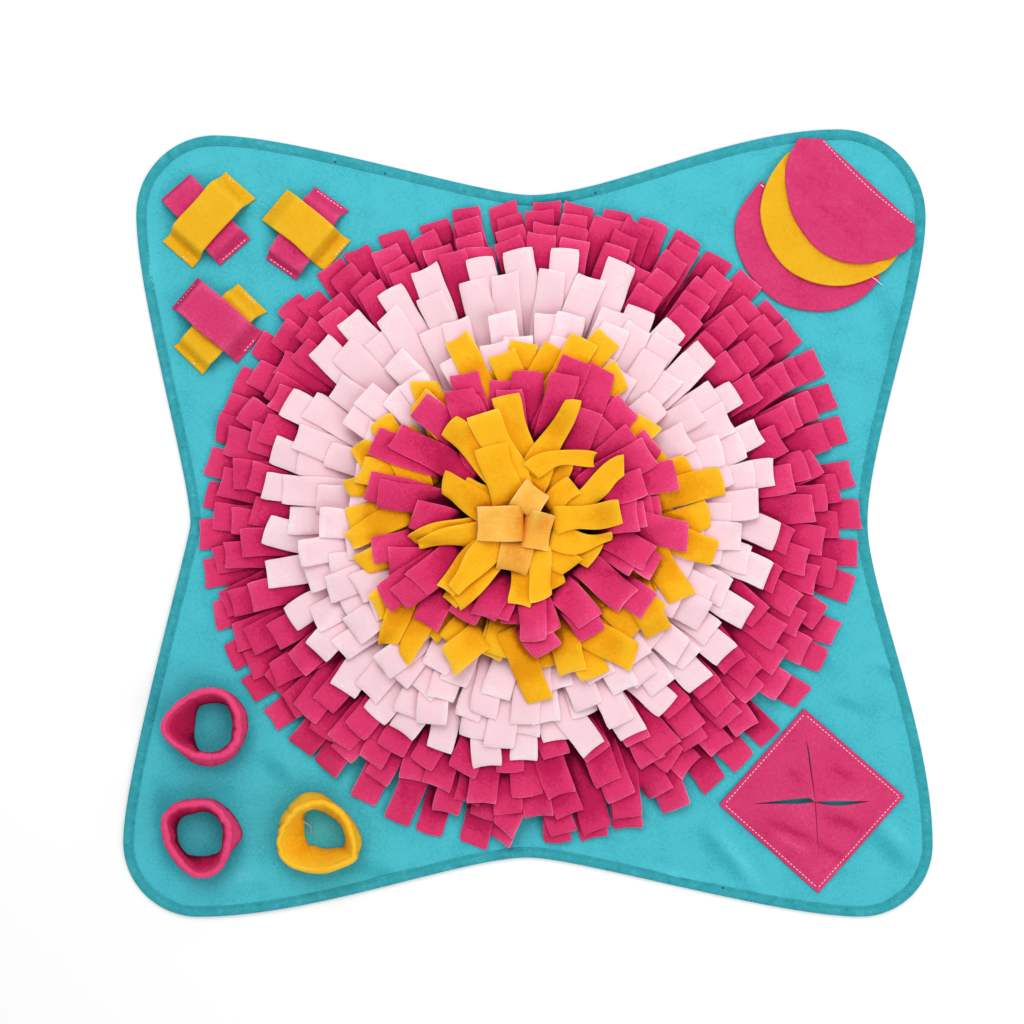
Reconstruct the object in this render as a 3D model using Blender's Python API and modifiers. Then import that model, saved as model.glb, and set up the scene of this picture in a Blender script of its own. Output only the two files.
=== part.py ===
"""Snuffle mat: a bound felt base that carries a heap of fleece fringe and, in its four corners,
crossed tabs, half-round flaps, standing collars and a slit patch.

Run with: blender --background --python part.py
Sizes are in millimetres and MM turns them into metres. +X is to the right and +Y to the top of
the mat as it lies, +Z is up, and the origin is on its underside, in the middle.
"""

import math
import random

import bmesh
import bpy
import numpy as np

MM = 0.001

# Cloth
PANEL_THICK = 3.0
FELT_PLY = 2.0
FLEECE_PLY = 2.0
SEWN_GAP = 0.3  # between two pieces that are sewn together
SEAT = PANEL_THICK + SEWN_GAP  # underside of whatever is sewn on the panel
MAX_WELD = 0.0001  # metres

# Binding tape, folded round the panel's pressed edge
TAPE_WIDTH = 9.0
TAPE_PLY = 0.6
TAPE_FOLD = 0.36  # bevel of the tape's two outer folds
TONGUE_THICK = 1.2  # the panel's edge inside the tape
TONGUE_BOTTOM = (PANEL_THICK - TONGUE_THICK) / 2

CORNER_STEPS = 8
SIDE_STEPS = 5
CORNERS = (  # centre x, centre y, radius; counter-clockwise from the top right
    (268.2, 264.8, 75.3),
    (-270.0, 266.5, 68.4),
    (-284.7, -275.2, 65.0),
    (287.3, -277.8, 62.3),
)
WAISTS = (  # x, y, and how far each handle reaches, as a share of the stretch it shapes:
    # leaving the corner, entering the waist, leaving the waist, entering the next corner
    (2.0, 283.4, 0.35, 0.25, 0.15, 0.25),
    (-291.6, 0.0, 0.25, 0.15, 0.05, 0.20),
    (0.0, -289.0, 0.35, 0.20, 0.15, 0.25),
    (293.3, 0.0, 0.35, 0.20, 0.25, 0.25),
)

# Crossed tabs: each strip is sewn at both ends and slack between
TAB_WIDTH = 34.0
TABS = (  # name, colour, x and y of the first end, x and y of the second, rise of its slack
    ("tab_a_under", "magenta", -303.1, 290.6, -252.7, 233.3, 8.0),
    ("tab_a_over", "yellow", -248.3, 291.8, -302.4, 231.3, 11.5),
    ("tab_b_under", "magenta", -170.9, 281.2, -214.2, 219.4, 8.0),
    ("tab_b_over", "yellow", -221.3, 277.2, -167.2, 232.0, 11.5),
    ("tab_c_under", "yellow", -238.6, 195.5, -292.9, 139.7, 8.0),
    ("tab_c_over", "magenta", -295.4, 199.3, -240.3, 152.4, 13.5),
)
TAB_SLACK = ((0.0, 0.0), (5.0, 0.0), (9.0, 0.7), (13.0, 1.0))  # way in from the end, share of rise

# Half-round flaps, each sewn along its straight edge and lying on the one before
FLAP_RADIUS = 72.0
FLAP_STEPS = 9
FLAP_STEP_RUN = 8.0  # length over which a flap climbs onto the one below
FLAPS = (  # name, colour, x and y of its straight edge's middle, turn, half that edge, depth of its cuts
    ("flap_bottom", "magenta", 252.7, 254.0, -39.4, 66.0, 28.0),
    ("flap_middle", "yellow", 273.0, 274.7, -44.5, 66.0, 26.0),
    ("flap_top", "magenta", 295.9, 295.9, -43.1, 56.0, 13.0),
)

# Standing collars: doubled fleece bands closed to a ring
COLLAR_HEIGHT = 30.0
COLLAR_WALL = 9.0
COLLAR_AROUND = 26
COLLAR_FOOT_GROWTH = 0.78  # the foot's size as a share of the rim's
COLLAR_FLARE = 0.7  # power of the height share that a collar widens with
COLLAR_TRIANGLE = 0.3  # share of a collar's point that makes it three-sided
COLLAR_POINT_POWER = 4  # the higher, the sharper the point
COLLAR_WALL_SECTION = (  # share of the wall crossed from its inner side, share of the height
    (0.0, 0.0),
    (0.0, 0.55),
    (0.12, 0.9),
    (0.5, 1.0),
    (0.88, 0.9),
    (1.0, 0.55),
    (1.0, 0.0),
)
COLLARS = (  # name, colour, foot x and y, rim x and y, rim half width and depth,
    # how pointed it is, and which way the point faces in degrees
    ("collar_a", "magenta", -268.0, -176.5, -269.8, -173.6, 36.6, 35.4, 0.12, 178.0),
    ("collar_b", "magenta", -280.0, -268.5, -275.8, -266.4, 34.8, 34.8, 0.08, -20.0),
    ("collar_c", "yellow", -175.5, -263.0, -177.2, -262.6, 37.4, 35.6, 0.08, 250.0),
)

# Slit patch: a square sewn on all four sides, with two crossing cuts along its diagonals
PATCH_CORNERS = ((324.8, -235.5), (238.0, -159.8), (164.7, -242.8), (250.1, -319.3))
PATCH_SLIT_TIPS = ((293.9, -239.4), (239.3, -186.5), (193.1, -241.8), (250.1, -287.3))
PATCH_CROSSING = (246.5, -239.4)
PATCH_SLIT_GAP = 1.5  # half the slit's width where the two cuts cross
PATCH_CROWN = 4.5
PATCH_SEWN_SHARE = 0.12  # outer share of the patch that lies flat under the stitches
PATCH_RINGS = (0.0, 0.14, 0.5, 1.0)  # share of the way from the sides to the cuts
PATCH_SIDE_SHARES = (0.0, 0.25, 0.5, 0.75)  # points along each side, one for each point along a cut

# Fringe: strips gathered on ring bands, the outermost band first
BAND_WIDTH = 6.0
BAND_REST = SEAT + FLEECE_PLY / 2
ROW_CLEARANCE = 0.8
STRIP_WIDTH = 25.0
PATH_SAMPLES = 200  # along a strip, to work out its curve
ROOT_SHARE = 0.84  # widest that strips stand side by side at their roots, as a share of their pitch
STRIP_TURN = 3.0  # most that a strip strays from its ray, in degrees
STRIP_SHORTER = 0.07  # most that a strip falls short of its row's length
KNOT_BIAS = 1.25  # above 1, a strip's bends crowd towards its root
FRINGE_ROWS = (  # name, colour, strips, root radius, length, rise at the root, fall at the tip, bends
    ("fringe_outer_1", "magenta", 48, 191.5, 90.0, 20.0, -18.0, 2),
    ("fringe_outer_2", "magenta", 44, 175.0, 91.0, 24.0, -17.0, 2),
    ("fringe_outer_3", "magenta", 40, 160.0, 92.0, 29.0, -16.0, 2),
    ("fringe_pink_1", "pink", 30, 134.0, 92.0, 38.0, -15.0, 3),
    ("fringe_pink_2", "pink", 26, 117.0, 92.0, 42.0, -14.0, 3),
    ("fringe_pink_3", "pink", 22, 100.0, 91.0, 46.0, -13.0, 3),
    ("fringe_yellow_1", "yellow", 18, 80.0, 91.0, 56.0, -14.0, 3),
    ("fringe_yellow_2", "yellow", 15, 66.0, 90.0, 60.0, -14.0, 3),
    ("fringe_inner_1", "magenta", 14, 52.0, 94.0, 68.0, -16.0, 4),
    ("fringe_inner_2", "magenta", 11, 40.0, 92.0, 72.0, -18.0, 4),
    ("fringe_heart_1", "yellow", 11, 27.5, 88.0, 80.0, -22.0, 4),
    ("fringe_heart_2", "yellow", 8, 17.0, 82.0, 84.0, -28.0, 4),
)
CROWN_STRIPS = 4
CROWN_BAND_HOLE = 2.0
CROWN_WIDTH = 22.0
CROWN_PATH = (  # radius, height above the band
    (7.0, 0.0),
    (8.0, 30.0),
    (10.0, 58.0),
    (17.0, 65.0),
    (27.0, 64.0),
    (34.0, 57.0),
)
SEED = 7

FINISHES = {  # name: sRGB colour, roughness
    "teal": ("4BC3CD", 0.95),
    "deep_teal": ("38A8B0", 0.9),
    "magenta": ("DB3A6F", 0.95),
    "pink": ("FAD7E1", 0.95),
    "yellow": ("FAB919", 0.95),
    "amber": ("F3B350", 0.95),
}


def clear_scene():
    for obj in list(bpy.data.objects):
        bpy.data.objects.remove(obj, do_unlink=True)


def linear(channel):
    """One sRGB channel from 0 to 1, turned to linear light."""
    return channel / 12.92 if channel <= 0.04045 else ((channel + 0.055) / 1.055) ** 2.4


def make_materials():
    made = {}
    for name, (colour, roughness) in FINISHES.items():
        material = bpy.data.materials.new(f"{name}_cloth")
        material.use_nodes = True
        shader = material.node_tree.nodes["Principled BSDF"]
        rgb = [linear(int(colour[i : i + 2], 16) / 255) for i in (0, 2, 4)]
        shader.inputs["Base Color"].default_value = (*rgb, 1.0)
        shader.inputs["Roughness"].default_value = roughness
        shader.inputs["Metallic"].default_value = 0.0
        made[name] = material
    return made


class Workshop:
    """The collections, the parent empty and the materials that every piece shares."""

    def __init__(self):
        self.parts = bpy.data.collections.new("Snuffle_mat")
        self.helpers = bpy.data.collections.new("Snuffle_mat_cutters")
        for collection in (self.parts, self.helpers):
            bpy.context.scene.collection.children.link(collection)
        self.origin = bpy.data.objects.new("mat_origin", None)
        self.parts.objects.link(self.origin)
        self.materials = make_materials()

    def add(self, name, data, colour):
        """A new object that is a piece of the mat."""
        data.materials.append(self.materials[colour])
        obj = bpy.data.objects.new(name, data)
        self.parts.objects.link(obj)
        obj.parent = self.origin
        return obj

    def add_helper(self, name, data):
        obj = bpy.data.objects.new(name, data)
        self.helpers.objects.link(obj)
        obj.hide_render = True
        obj.display_type = "WIRE"
        return obj


# ---------------------------------------------------------------- base panel and binding


def bezier(start, first, second, end):
    """Points along a cubic curve, its start included and its end left out."""
    t = np.arange(SIDE_STEPS)[:, None] / SIDE_STEPS
    return (
        (1 - t) ** 3 * start
        + 3 * (1 - t) ** 2 * t * first
        + 3 * (1 - t) * t**2 * second
        + t**3 * end
    )


def outline():
    """The mat's edge, counter-clockwise: a quarter round at each corner and a waist on each side."""
    stretches = []
    for index, (x, y, radius) in enumerate(CORNERS):
        start = math.pi / 2 * index
        turns = start + np.arange(CORNER_STEPS) / CORNER_STEPS * math.pi / 2
        stretches.append(np.column_stack([x + radius * np.cos(turns), y + radius * np.sin(turns)]))
        after = start + math.pi / 2
        along = np.array([-math.sin(after), math.cos(after)])
        leave = np.array([x + radius * math.cos(after), y + radius * math.sin(after)])
        waist_x, waist_y, out_pull, in_ease, out_ease, in_pull = WAISTS[index]
        waist = np.array([waist_x, waist_y])
        next_x, next_y, next_radius = CORNERS[(index + 1) % len(CORNERS)]
        arrive = np.array([next_x, next_y]) + next_radius * np.array([math.cos(after), math.sin(after)])
        before = along * np.linalg.norm(waist - leave)
        behind = along * np.linalg.norm(arrive - waist)
        stretches.append(bezier(leave, leave + out_pull * before, waist - in_ease * before, waist))
        stretches.append(bezier(waist, waist + out_ease * behind, arrive - in_pull * behind, arrive))
    return np.concatenate(stretches)


def inset(points, distance):
    """A closed counter-clockwise outline moved inwards."""
    along = np.roll(points, -1, axis=0) - np.roll(points, 1, axis=0)
    along /= np.linalg.norm(along, axis=1)[:, None]
    inward = np.column_stack([-along[:, 1], along[:, 0]])
    return points + inward * distance


def closed_poly_curve(name, points):
    """A flat closed curve of straight stretches through 2D points in millimetres."""
    curve = bpy.data.curves.new(name, "CURVE")
    curve.dimensions = "2D"
    spline = curve.splines.new("POLY")
    spline.points.add(len(points) - 1)
    for point, (x, y) in zip(spline.points, points):
        point.co = (x * MM, y * MM, 0.0, 1.0)
    spline.use_cyclic_u = True
    return curve


def mesh_from(obj, name):
    """The evaluated shape of a curve object as a welded mesh, and the curve removed."""
    graph = bpy.context.evaluated_depsgraph_get()
    mesh = bpy.data.meshes.new_from_object(obj.evaluated_get(graph))
    place = obj.matrix_world.copy()
    bpy.data.objects.remove(obj, do_unlink=True)
    shape = bmesh.new()
    shape.from_mesh(mesh)
    bmesh.ops.remove_doubles(shape, verts=shape.verts, dist=MAX_WELD)
    bmesh.ops.recalc_face_normals(shape, faces=shape.faces)
    shape.transform(place)
    shape.to_mesh(mesh)
    shape.free()
    mesh.name = name
    return mesh


def plate(shop, name, points, bottom, top):
    """A flat closed mesh between two heights over an outline."""
    curve = closed_poly_curve(name, points)
    curve.fill_mode = "BOTH"
    curve.extrude = (top - bottom) / 2 * MM
    obj = shop.add_helper(name, curve)
    obj.location.z = (bottom + top) / 2 * MM
    bpy.context.view_layer.update()
    return mesh_from(obj, name)


def build_panel(shop, edge):
    """The flat felt base, with the thin tongue at its edge that the tape folds over."""
    body = plate(shop, "mat_panel", inset(edge, TAPE_WIDTH + SEWN_GAP), 0.0, PANEL_THICK)
    tongue_edge = inset(edge, TAPE_PLY + SEWN_GAP)
    tongue = plate(shop, "panel_tongue", tongue_edge, TONGUE_BOTTOM, TONGUE_BOTTOM + TONGUE_THICK)
    panel = shop.add("mat_panel", body, "teal")
    join = panel.modifiers.new("tongue", "BOOLEAN")
    join.operation = "UNION"
    join.solver = "EXACT"
    join.object = shop.add_helper("panel_tongue", tongue)


def build_binding(shop, edge):
    """The tape: one folded section carried round the mat's edge."""
    slot_bottom = TONGUE_BOTTOM - SEWN_GAP
    slot_top = TONGUE_BOTTOM + TONGUE_THICK + SEWN_GAP
    section = (  # way in from the mat's edge, height
        (TAPE_FOLD, 0.0),
        (TAPE_WIDTH, 0.0),
        (TAPE_WIDTH, slot_bottom),
        (TAPE_PLY, slot_bottom),
        (TAPE_PLY, slot_top),
        (TAPE_WIDTH, slot_top),
        (TAPE_WIDTH, PANEL_THICK),
        (TAPE_FOLD, PANEL_THICK),
        (0.0, PANEL_THICK - TAPE_FOLD),
        (0.0, TAPE_FOLD),
    )
    guide = shop.add_helper("tape_section", closed_poly_curve("tape_section", section))
    path = closed_poly_curve("edge_binding", edge)
    path.bevel_mode = "OBJECT"
    path.bevel_object = guide
    path.fill_mode = "NONE"
    obj = shop.add_helper("tape_path", path)
    bpy.context.view_layer.update()
    shop.add("edge_binding", mesh_from(obj, "edge_binding"), "deep_teal")


# ---------------------------------------------------------------- sheets


def sheet_mesh(name, rows, closed_around=False):
    """An open surface over rows of points in millimetres; points that coincide are merged."""
    rows = np.asarray(rows, float)
    count, across = rows.shape[:2]
    faces = []
    for r in range(count - 1):
        for c in range(across if closed_around else across - 1):
            after = (c + 1) % across
            near, far = r * across, (r + 1) * across
            faces.append((near + c, near + after, far + after, far + c))
    mesh = bpy.data.meshes.new(name)
    mesh.from_pydata((rows.reshape(-1, 3) * MM).tolist(), [], faces)
    shape = bmesh.new()
    shape.from_mesh(mesh)
    bmesh.ops.remove_doubles(shape, verts=shape.verts, dist=MAX_WELD)
    bmesh.ops.recalc_face_normals(shape, faces=shape.faces)
    shape.to_mesh(mesh)
    shape.free()
    return mesh


def thicken(obj, ply):
    """Gives an open surface its cloth's thickness, half to each side."""
    wall = obj.modifiers.new("ply", "SOLIDIFY")
    wall.thickness = ply * MM
    wall.offset = 0.0
    wall.use_even_offset = True


def build_tabs(shop):
    for name, colour, x0, y0, x1, y1, rise in TABS:
        half = math.hypot(x1 - x0, y1 - y0) / 2
        first = [(-half + way, share * rise) for way, share in TAB_SLACK]
        path = first + [(0.0, rise)] + [(-along, height) for along, height in reversed(first)]
        rows = [[(along, side * TAB_WIDTH / 2, height) for side in (-1, 1)] for along, height in path]
        tab = shop.add(name, sheet_mesh(name, rows), colour)
        tab.location = ((x0 + x1) / 2 * MM, (y0 + y1) / 2 * MM, (SEAT + FELT_PLY / 2) * MM)
        tab.rotation_euler.z = math.atan2(y1 - y0, x1 - x0)
        thicken(tab, FELT_PLY)


def flap_climbs():
    """For each flap, the depths at which it starts to climb: once at the sewn edge of the flap below it,
    and once wherever that flap climbs itself. A climb is over before the nearest end of such a line."""
    climbs, lines = [], []
    for _, _, x, y, turn, _, _ in FLAPS:
        middle = np.array([x, y])
        along = np.array([math.cos(math.radians(turn)), math.sin(math.radians(turn))])
        inward = np.array([along[1], -along[0]])
        nearest = [min(float((end - middle) @ inward) for end in line) for line in lines]
        starts = sorted(depth - FLAP_STEP_RUN for depth in nearest)
        climbs.append(starts)
        lines = [
            [middle + inward * depth + along * side * FLAP_RADIUS for side in (-1, 1)]
            for depth in (0.0, *starts)
        ]
    return climbs


def build_flaps(shop):
    """Each flap lies flat from its sewn edge and climbs by a ply for each flap that it comes to lie on."""
    for flap, climbs in zip(FLAPS, flap_climbs()):
        name, colour, x, y, turn, half_edge, cut_depth = flap
        turns = [math.pi / 2 * step / FLAP_STEPS for step in range(FLAP_STEPS + 1)]
        round_depths = [FLAP_RADIUS * math.sin(round_turn) for round_turn in turns]
        depths = {0.0, cut_depth} | {depth for depth in round_depths if depth > cut_depth}
        for climb in climbs:
            depths |= {climb, climb + FLAP_STEP_RUN - FELT_PLY}
        rows = []
        for depth in sorted(depths):
            wide = math.sqrt(max(FLAP_RADIUS**2 - max(depth, cut_depth) ** 2, 0.0))
            if depth < cut_depth:
                wide = half_edge + (wide - half_edge) * depth / cut_depth
            height = sum(FELT_PLY + SEWN_GAP for climb in climbs if depth > climb)
            rows.append([(-wide, -depth, height), (wide, -depth, height)])
        obj = shop.add(name, sheet_mesh(name, rows), colour)
        obj.location = (x * MM, y * MM, (SEAT + FELT_PLY / 2) * MM)
        obj.rotation_euler.z = math.radians(turn)
        thicken(obj, FELT_PLY)


def build_patch(shop):
    """A square that lies flat along its sewn sides and bulges a little towards its cross cuts."""
    crossing = np.array(PATCH_CROSSING)
    outer, inner = [], []
    for index, (corner, tip) in enumerate(zip(PATCH_CORNERS, PATCH_SLIT_TIPS)):
        after = (index + 1) % len(PATCH_CORNERS)
        next_corner, next_tip = np.array(PATCH_CORNERS[after]), np.array(PATCH_SLIT_TIPS[after])
        corner, tip = np.array(corner), np.array(tip)
        inner_corner = crossing + PATCH_SLIT_GAP * (
            (tip - crossing) / np.linalg.norm(tip - crossing)
            + (next_tip - crossing) / np.linalg.norm(next_tip - crossing)
        )
        outer += [corner + (next_corner - corner) * share for share in PATCH_SIDE_SHARES]
        inner += [tip, (tip + inner_corner) / 2, inner_corner, (inner_corner + next_tip) / 2]
    outer, inner = np.array(outer), np.array(inner)
    middle = np.mean(PATCH_CORNERS, axis=0)
    side = np.array(PATCH_CORNERS[1]) - np.array(PATCH_CORNERS[0])
    along = side / np.linalg.norm(side)
    across = np.array([-along[1], along[0]])
    half = np.linalg.norm(side) / 2
    rows = []
    for share in PATCH_RINGS:
        ring = outer + (inner - outer) * share
        reach = np.maximum(abs((ring - middle) @ along), abs((ring - middle) @ across)) / half
        inwards = np.clip((1 - PATCH_SEWN_SHARE - reach) / (1 - PATCH_SEWN_SHARE), 0.0, 1.0)
        height = PATCH_CROWN * inwards * (2 - inwards) + SEAT + FELT_PLY / 2
        rows.append(np.column_stack([ring, height]))
    obj = shop.add("slit_patch", sheet_mesh("slit_patch", rows, closed_around=True), "magenta")
    thicken(obj, FELT_PLY)


# ---------------------------------------------------------------- collars


def build_collars(shop):
    """Each collar is a wall whose section runs up its inner side, over the fold and down its outer side."""
    turns = np.arange(COLLAR_AROUND) / COLLAR_AROUND * 2 * math.pi
    for name, colour, foot_x, foot_y, rim_x, rim_y, half_x, half_y, point, facing in COLLARS:
        off_point = turns - math.radians(facing)
        pointed = 1 + point * COLLAR_TRIANGLE * np.cos(3 * off_point)
        pointed += point * np.maximum(np.cos(off_point), 0.0) ** COLLAR_POINT_POWER
        pointed /= pointed.mean()
        section = []
        for through, up in COLLAR_WALL_SECTION:
            grown = COLLAR_FOOT_GROWTH + (1 - COLLAR_FOOT_GROWTH) * up**COLLAR_FLARE
            centre = np.array([foot_x + (rim_x - foot_x) * up, foot_y + (rim_y - foot_y) * up])
            thinner = (1 - through) * COLLAR_WALL
            wide = half_x * grown * pointed - thinner
            deep = half_y * grown * pointed - thinner
            ring = np.column_stack([
                centre[0] + wide * np.cos(turns),
                centre[1] + deep * np.sin(turns),
                np.full(COLLAR_AROUND, SEAT + COLLAR_HEIGHT * up),
            ])
            section.append(ring)
        section.append(section[0])
        collar = shop.add(name, sheet_mesh(name, section, closed_around=True), colour)
        collar.data.shade_smooth()


# ---------------------------------------------------------------- fringe


def strip_path(root, length, rise, fall, bends):
    """Radii and heights along a strip whose slope falls evenly from its rise to its fall."""
    share = np.linspace(0.0, 1.0, PATH_SAMPLES)
    slope = np.radians(rise + (fall - rise) * share)
    step = length * np.diff(share)
    run = np.concatenate([[0.0], np.cumsum((np.cos(slope[1:]) + np.cos(slope[:-1])) / 2 * step)])
    climb = np.concatenate([[0.0], np.cumsum((np.sin(slope[1:]) + np.sin(slope[:-1])) / 2 * step)])
    knots = np.linspace(0.0, 1.0, bends + 1) ** KNOT_BIAS
    return root + np.interp(knots, share, run), BAND_REST + np.interp(knots, share, climb)


def lifted(radii, heights, below):
    """The path raised, but for its root, until it clears the row below by a ply and a little air."""
    below_radii, below_heights = below
    crossed = below_radii[(below_radii > radii[0]) & (below_radii < radii[-1])]
    tested = np.unique(np.concatenate([radii[1:], crossed]))
    tested = tested[tested <= below_radii[-1]]
    slopes = np.diff(below_heights) / np.diff(below_radii)
    slope = np.interp(tested, (below_radii[1:] + below_radii[:-1]) / 2, slopes)
    needed = np.interp(tested, below_radii, below_heights, left=BAND_REST)
    needed += (FLEECE_PLY + ROW_CLEARANCE) * np.hypot(1.0, slope)
    heights = heights.copy()
    for _ in range(len(tested)):
        heights[1:] += max((needed - np.interp(tested, radii, heights)).max(), 0.0)
    return heights


def fringe_mesh(name, count, radii, heights, width, band_inner, rng, first_turn=0.0):
    """A flat ring band and, standing from its outer edge, strips that follow one path in plan and height."""
    root = radii[0]
    root_half = min(width, 2 * math.pi * root / count * ROOT_SHARE) / 2
    spread = math.asin(root_half / root)
    points, faces = [], []
    for index in range(count):
        turn = first_turn + 2 * math.pi * index / count
        for side in (-1, 1):
            edge = turn + side * spread
            for radius in (band_inner, root):
                points.append((radius * math.cos(edge), radius * math.sin(edge), heights[0]))
    for index in range(count):
        a, b, after = 4 * index, 4 * index + 2, 4 * ((index + 1) % count)
        faces.append((a, a + 1, b + 1, b))
        faces.append((b, b + 1, after + 1, after))
        turn = first_turn + 2 * math.pi * index / count
        ray = turn + math.radians(rng.uniform(-STRIP_TURN, STRIP_TURN))
        shorter = 1 - rng.uniform(0.0, STRIP_SHORTER)
        start = np.array([math.cos(turn), math.sin(turn)]) * root * math.cos(spread)
        ahead = np.array([math.cos(ray), math.sin(ray)])
        beside = np.array([-ahead[1], ahead[0]])
        left, right = a + 1, b + 1
        for knot in range(1, len(radii)):
            run = radii[knot] - root
            height = heights[knot]
            if knot == len(radii) - 1:
                run -= (1 - shorter) * (radii[-1] - root)
                height = float(np.interp(root + run, radii, heights))
            half = root_half + (width / 2 - root_half) * min(1.0, run / STRIP_WIDTH)
            for side in (-1, 1):
                points.append((*(start + ahead * run + beside * side * half), height))
            faces.append((left, len(points) - 2, len(points) - 1, right))
            left, right = len(points) - 2, len(points) - 1
    mesh = bpy.data.meshes.new(name)
    mesh.from_pydata((np.array(points, float) * MM).tolist(), [], faces)
    return mesh


def build_fringe(shop):
    """Rows from the outermost in, each lying over the one before, and the upright curled crown."""
    rng = random.Random(SEED)
    below = None
    for name, colour, count, root, length, rise, fall, bends in FRINGE_ROWS:
        radii, heights = strip_path(root, length, rise, fall, bends)
        if below:
            heights = lifted(radii, heights, below)
        first_turn = rng.uniform(0.0, 2 * math.pi / count)
        mesh = fringe_mesh(name, count, radii, heights, STRIP_WIDTH, root - BAND_WIDTH, rng, first_turn)
        thicken(shop.add(name, mesh, colour), FLEECE_PLY)
        below = radii, heights
    crown_radii, crown_heights = np.array(CROWN_PATH).T
    mesh = fringe_mesh(
        "fringe_crown",
        CROWN_STRIPS,
        crown_radii,
        crown_heights + BAND_REST,
        CROWN_WIDTH,
        CROWN_BAND_HOLE,
        rng,
    )
    thicken(shop.add("fringe_crown", mesh, "amber"), FLEECE_PLY)


def main():
    clear_scene()
    shop = Workshop()
    edge = outline()
    build_panel(shop, edge)
    build_binding(shop, edge)
    build_tabs(shop)
    build_flaps(shop)
    build_patch(shop)
    build_collars(shop)
    build_fringe(shop)


main()
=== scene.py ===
"""Looks of a snuffle mat: a felt base with a bound edge, crossed tabs, half-round flaps, standing
collars and a slit patch in its corners, and a domed pile of fleece strips in the middle.

Sizes are in millimetres until a mesh is made. +X is to the right and +Y to the top of the mat,
+Z is up, and the origin is on the underside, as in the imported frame.
"""

from __future__ import annotations

import logging
import math
from dataclasses import dataclass, replace
from enum import Enum

import bpy
import numpy as np
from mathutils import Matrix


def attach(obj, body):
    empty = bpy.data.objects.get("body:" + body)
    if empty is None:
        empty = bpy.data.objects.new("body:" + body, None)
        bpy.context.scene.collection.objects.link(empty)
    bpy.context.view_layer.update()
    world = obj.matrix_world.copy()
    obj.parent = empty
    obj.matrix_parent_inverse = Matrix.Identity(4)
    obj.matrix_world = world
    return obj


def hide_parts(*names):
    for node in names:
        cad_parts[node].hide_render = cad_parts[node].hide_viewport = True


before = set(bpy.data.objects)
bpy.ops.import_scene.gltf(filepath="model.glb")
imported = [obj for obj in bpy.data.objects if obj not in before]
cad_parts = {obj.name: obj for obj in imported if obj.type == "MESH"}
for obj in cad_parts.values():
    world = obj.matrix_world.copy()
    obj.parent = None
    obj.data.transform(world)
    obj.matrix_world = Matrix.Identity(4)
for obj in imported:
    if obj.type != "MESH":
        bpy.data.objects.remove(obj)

Array = np.ndarray
Beads = tuple[np.ndarray, np.ndarray]  # points and quads
MM = 0.001
BODY = "root"
LOG = logging.getLogger("snuffle_mat")

PANEL_TOP = 3.0
SEAT = 3.3  # underside of what is sewn on the panel
FELT_PLY = 2.0
FLEECE_PLY = 2.0
CUT_EDGE = FELT_PLY * 0.4  # how far in from a cut the felt's edge starts to round off
SHARP_ANGLE = 52.0  # in degrees, from which on an edge between faces shows
RELIEF_LIGHT_AND_SHADE = 0.13  # painted light where the felt's top rises and painted shade where it sinks, for each millimetre of its height


# ---- finishes


def linear_rgb(colour: str) -> tuple[float, float, float, float]:
    """Turns an sRGB hex colour to linear light.

    Args:
        colour: six hex digits.

    Returns:
        Red, green, blue and alpha, from 0 to 1.
    """
    channels = [int(colour[i : i + 2], 16) / 255 for i in (0, 2, 4)]
    light = [c / 12.92 if c <= 0.04045 else ((c + 0.055) / 1.055) ** 2.4 for c in channels]
    return (light[0], light[1], light[2], 1.0)


def add_node(
    tree: bpy.types.NodeTree, kind: str, links: dict | None = None, sockets: dict | None = None, **settings
) -> bpy.types.Node:
    """Adds one node with its settings and links.

    Args:
        tree: the material's or world's node tree.
        kind: the node's type, such as ShaderNodeMix.
        links: input name or index to the output socket that feeds it.
        sockets: input name or index to its value.
        settings: the node's own properties.

    Returns:
        The new node.
    """
    node = tree.nodes.new(kind)
    for name, value in settings.items():
        setattr(node, name, value)
    for name, value in (sockets or {}).items():
        node.inputs[name].default_value = value
    for name, socket in (links or {}).items():
        tree.links.new(socket, node.inputs[name])
    return node


def blank_material(name: str) -> tuple[bpy.types.Material, bpy.types.NodeTree]:
    """A new material with no nodes in it.

    Args:
        name: the material's name.

    Returns:
        The material and its node tree.
    """
    material = bpy.data.materials.new(name)
    material.use_nodes = True
    material.node_tree.nodes.clear()
    return material, material.node_tree


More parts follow.
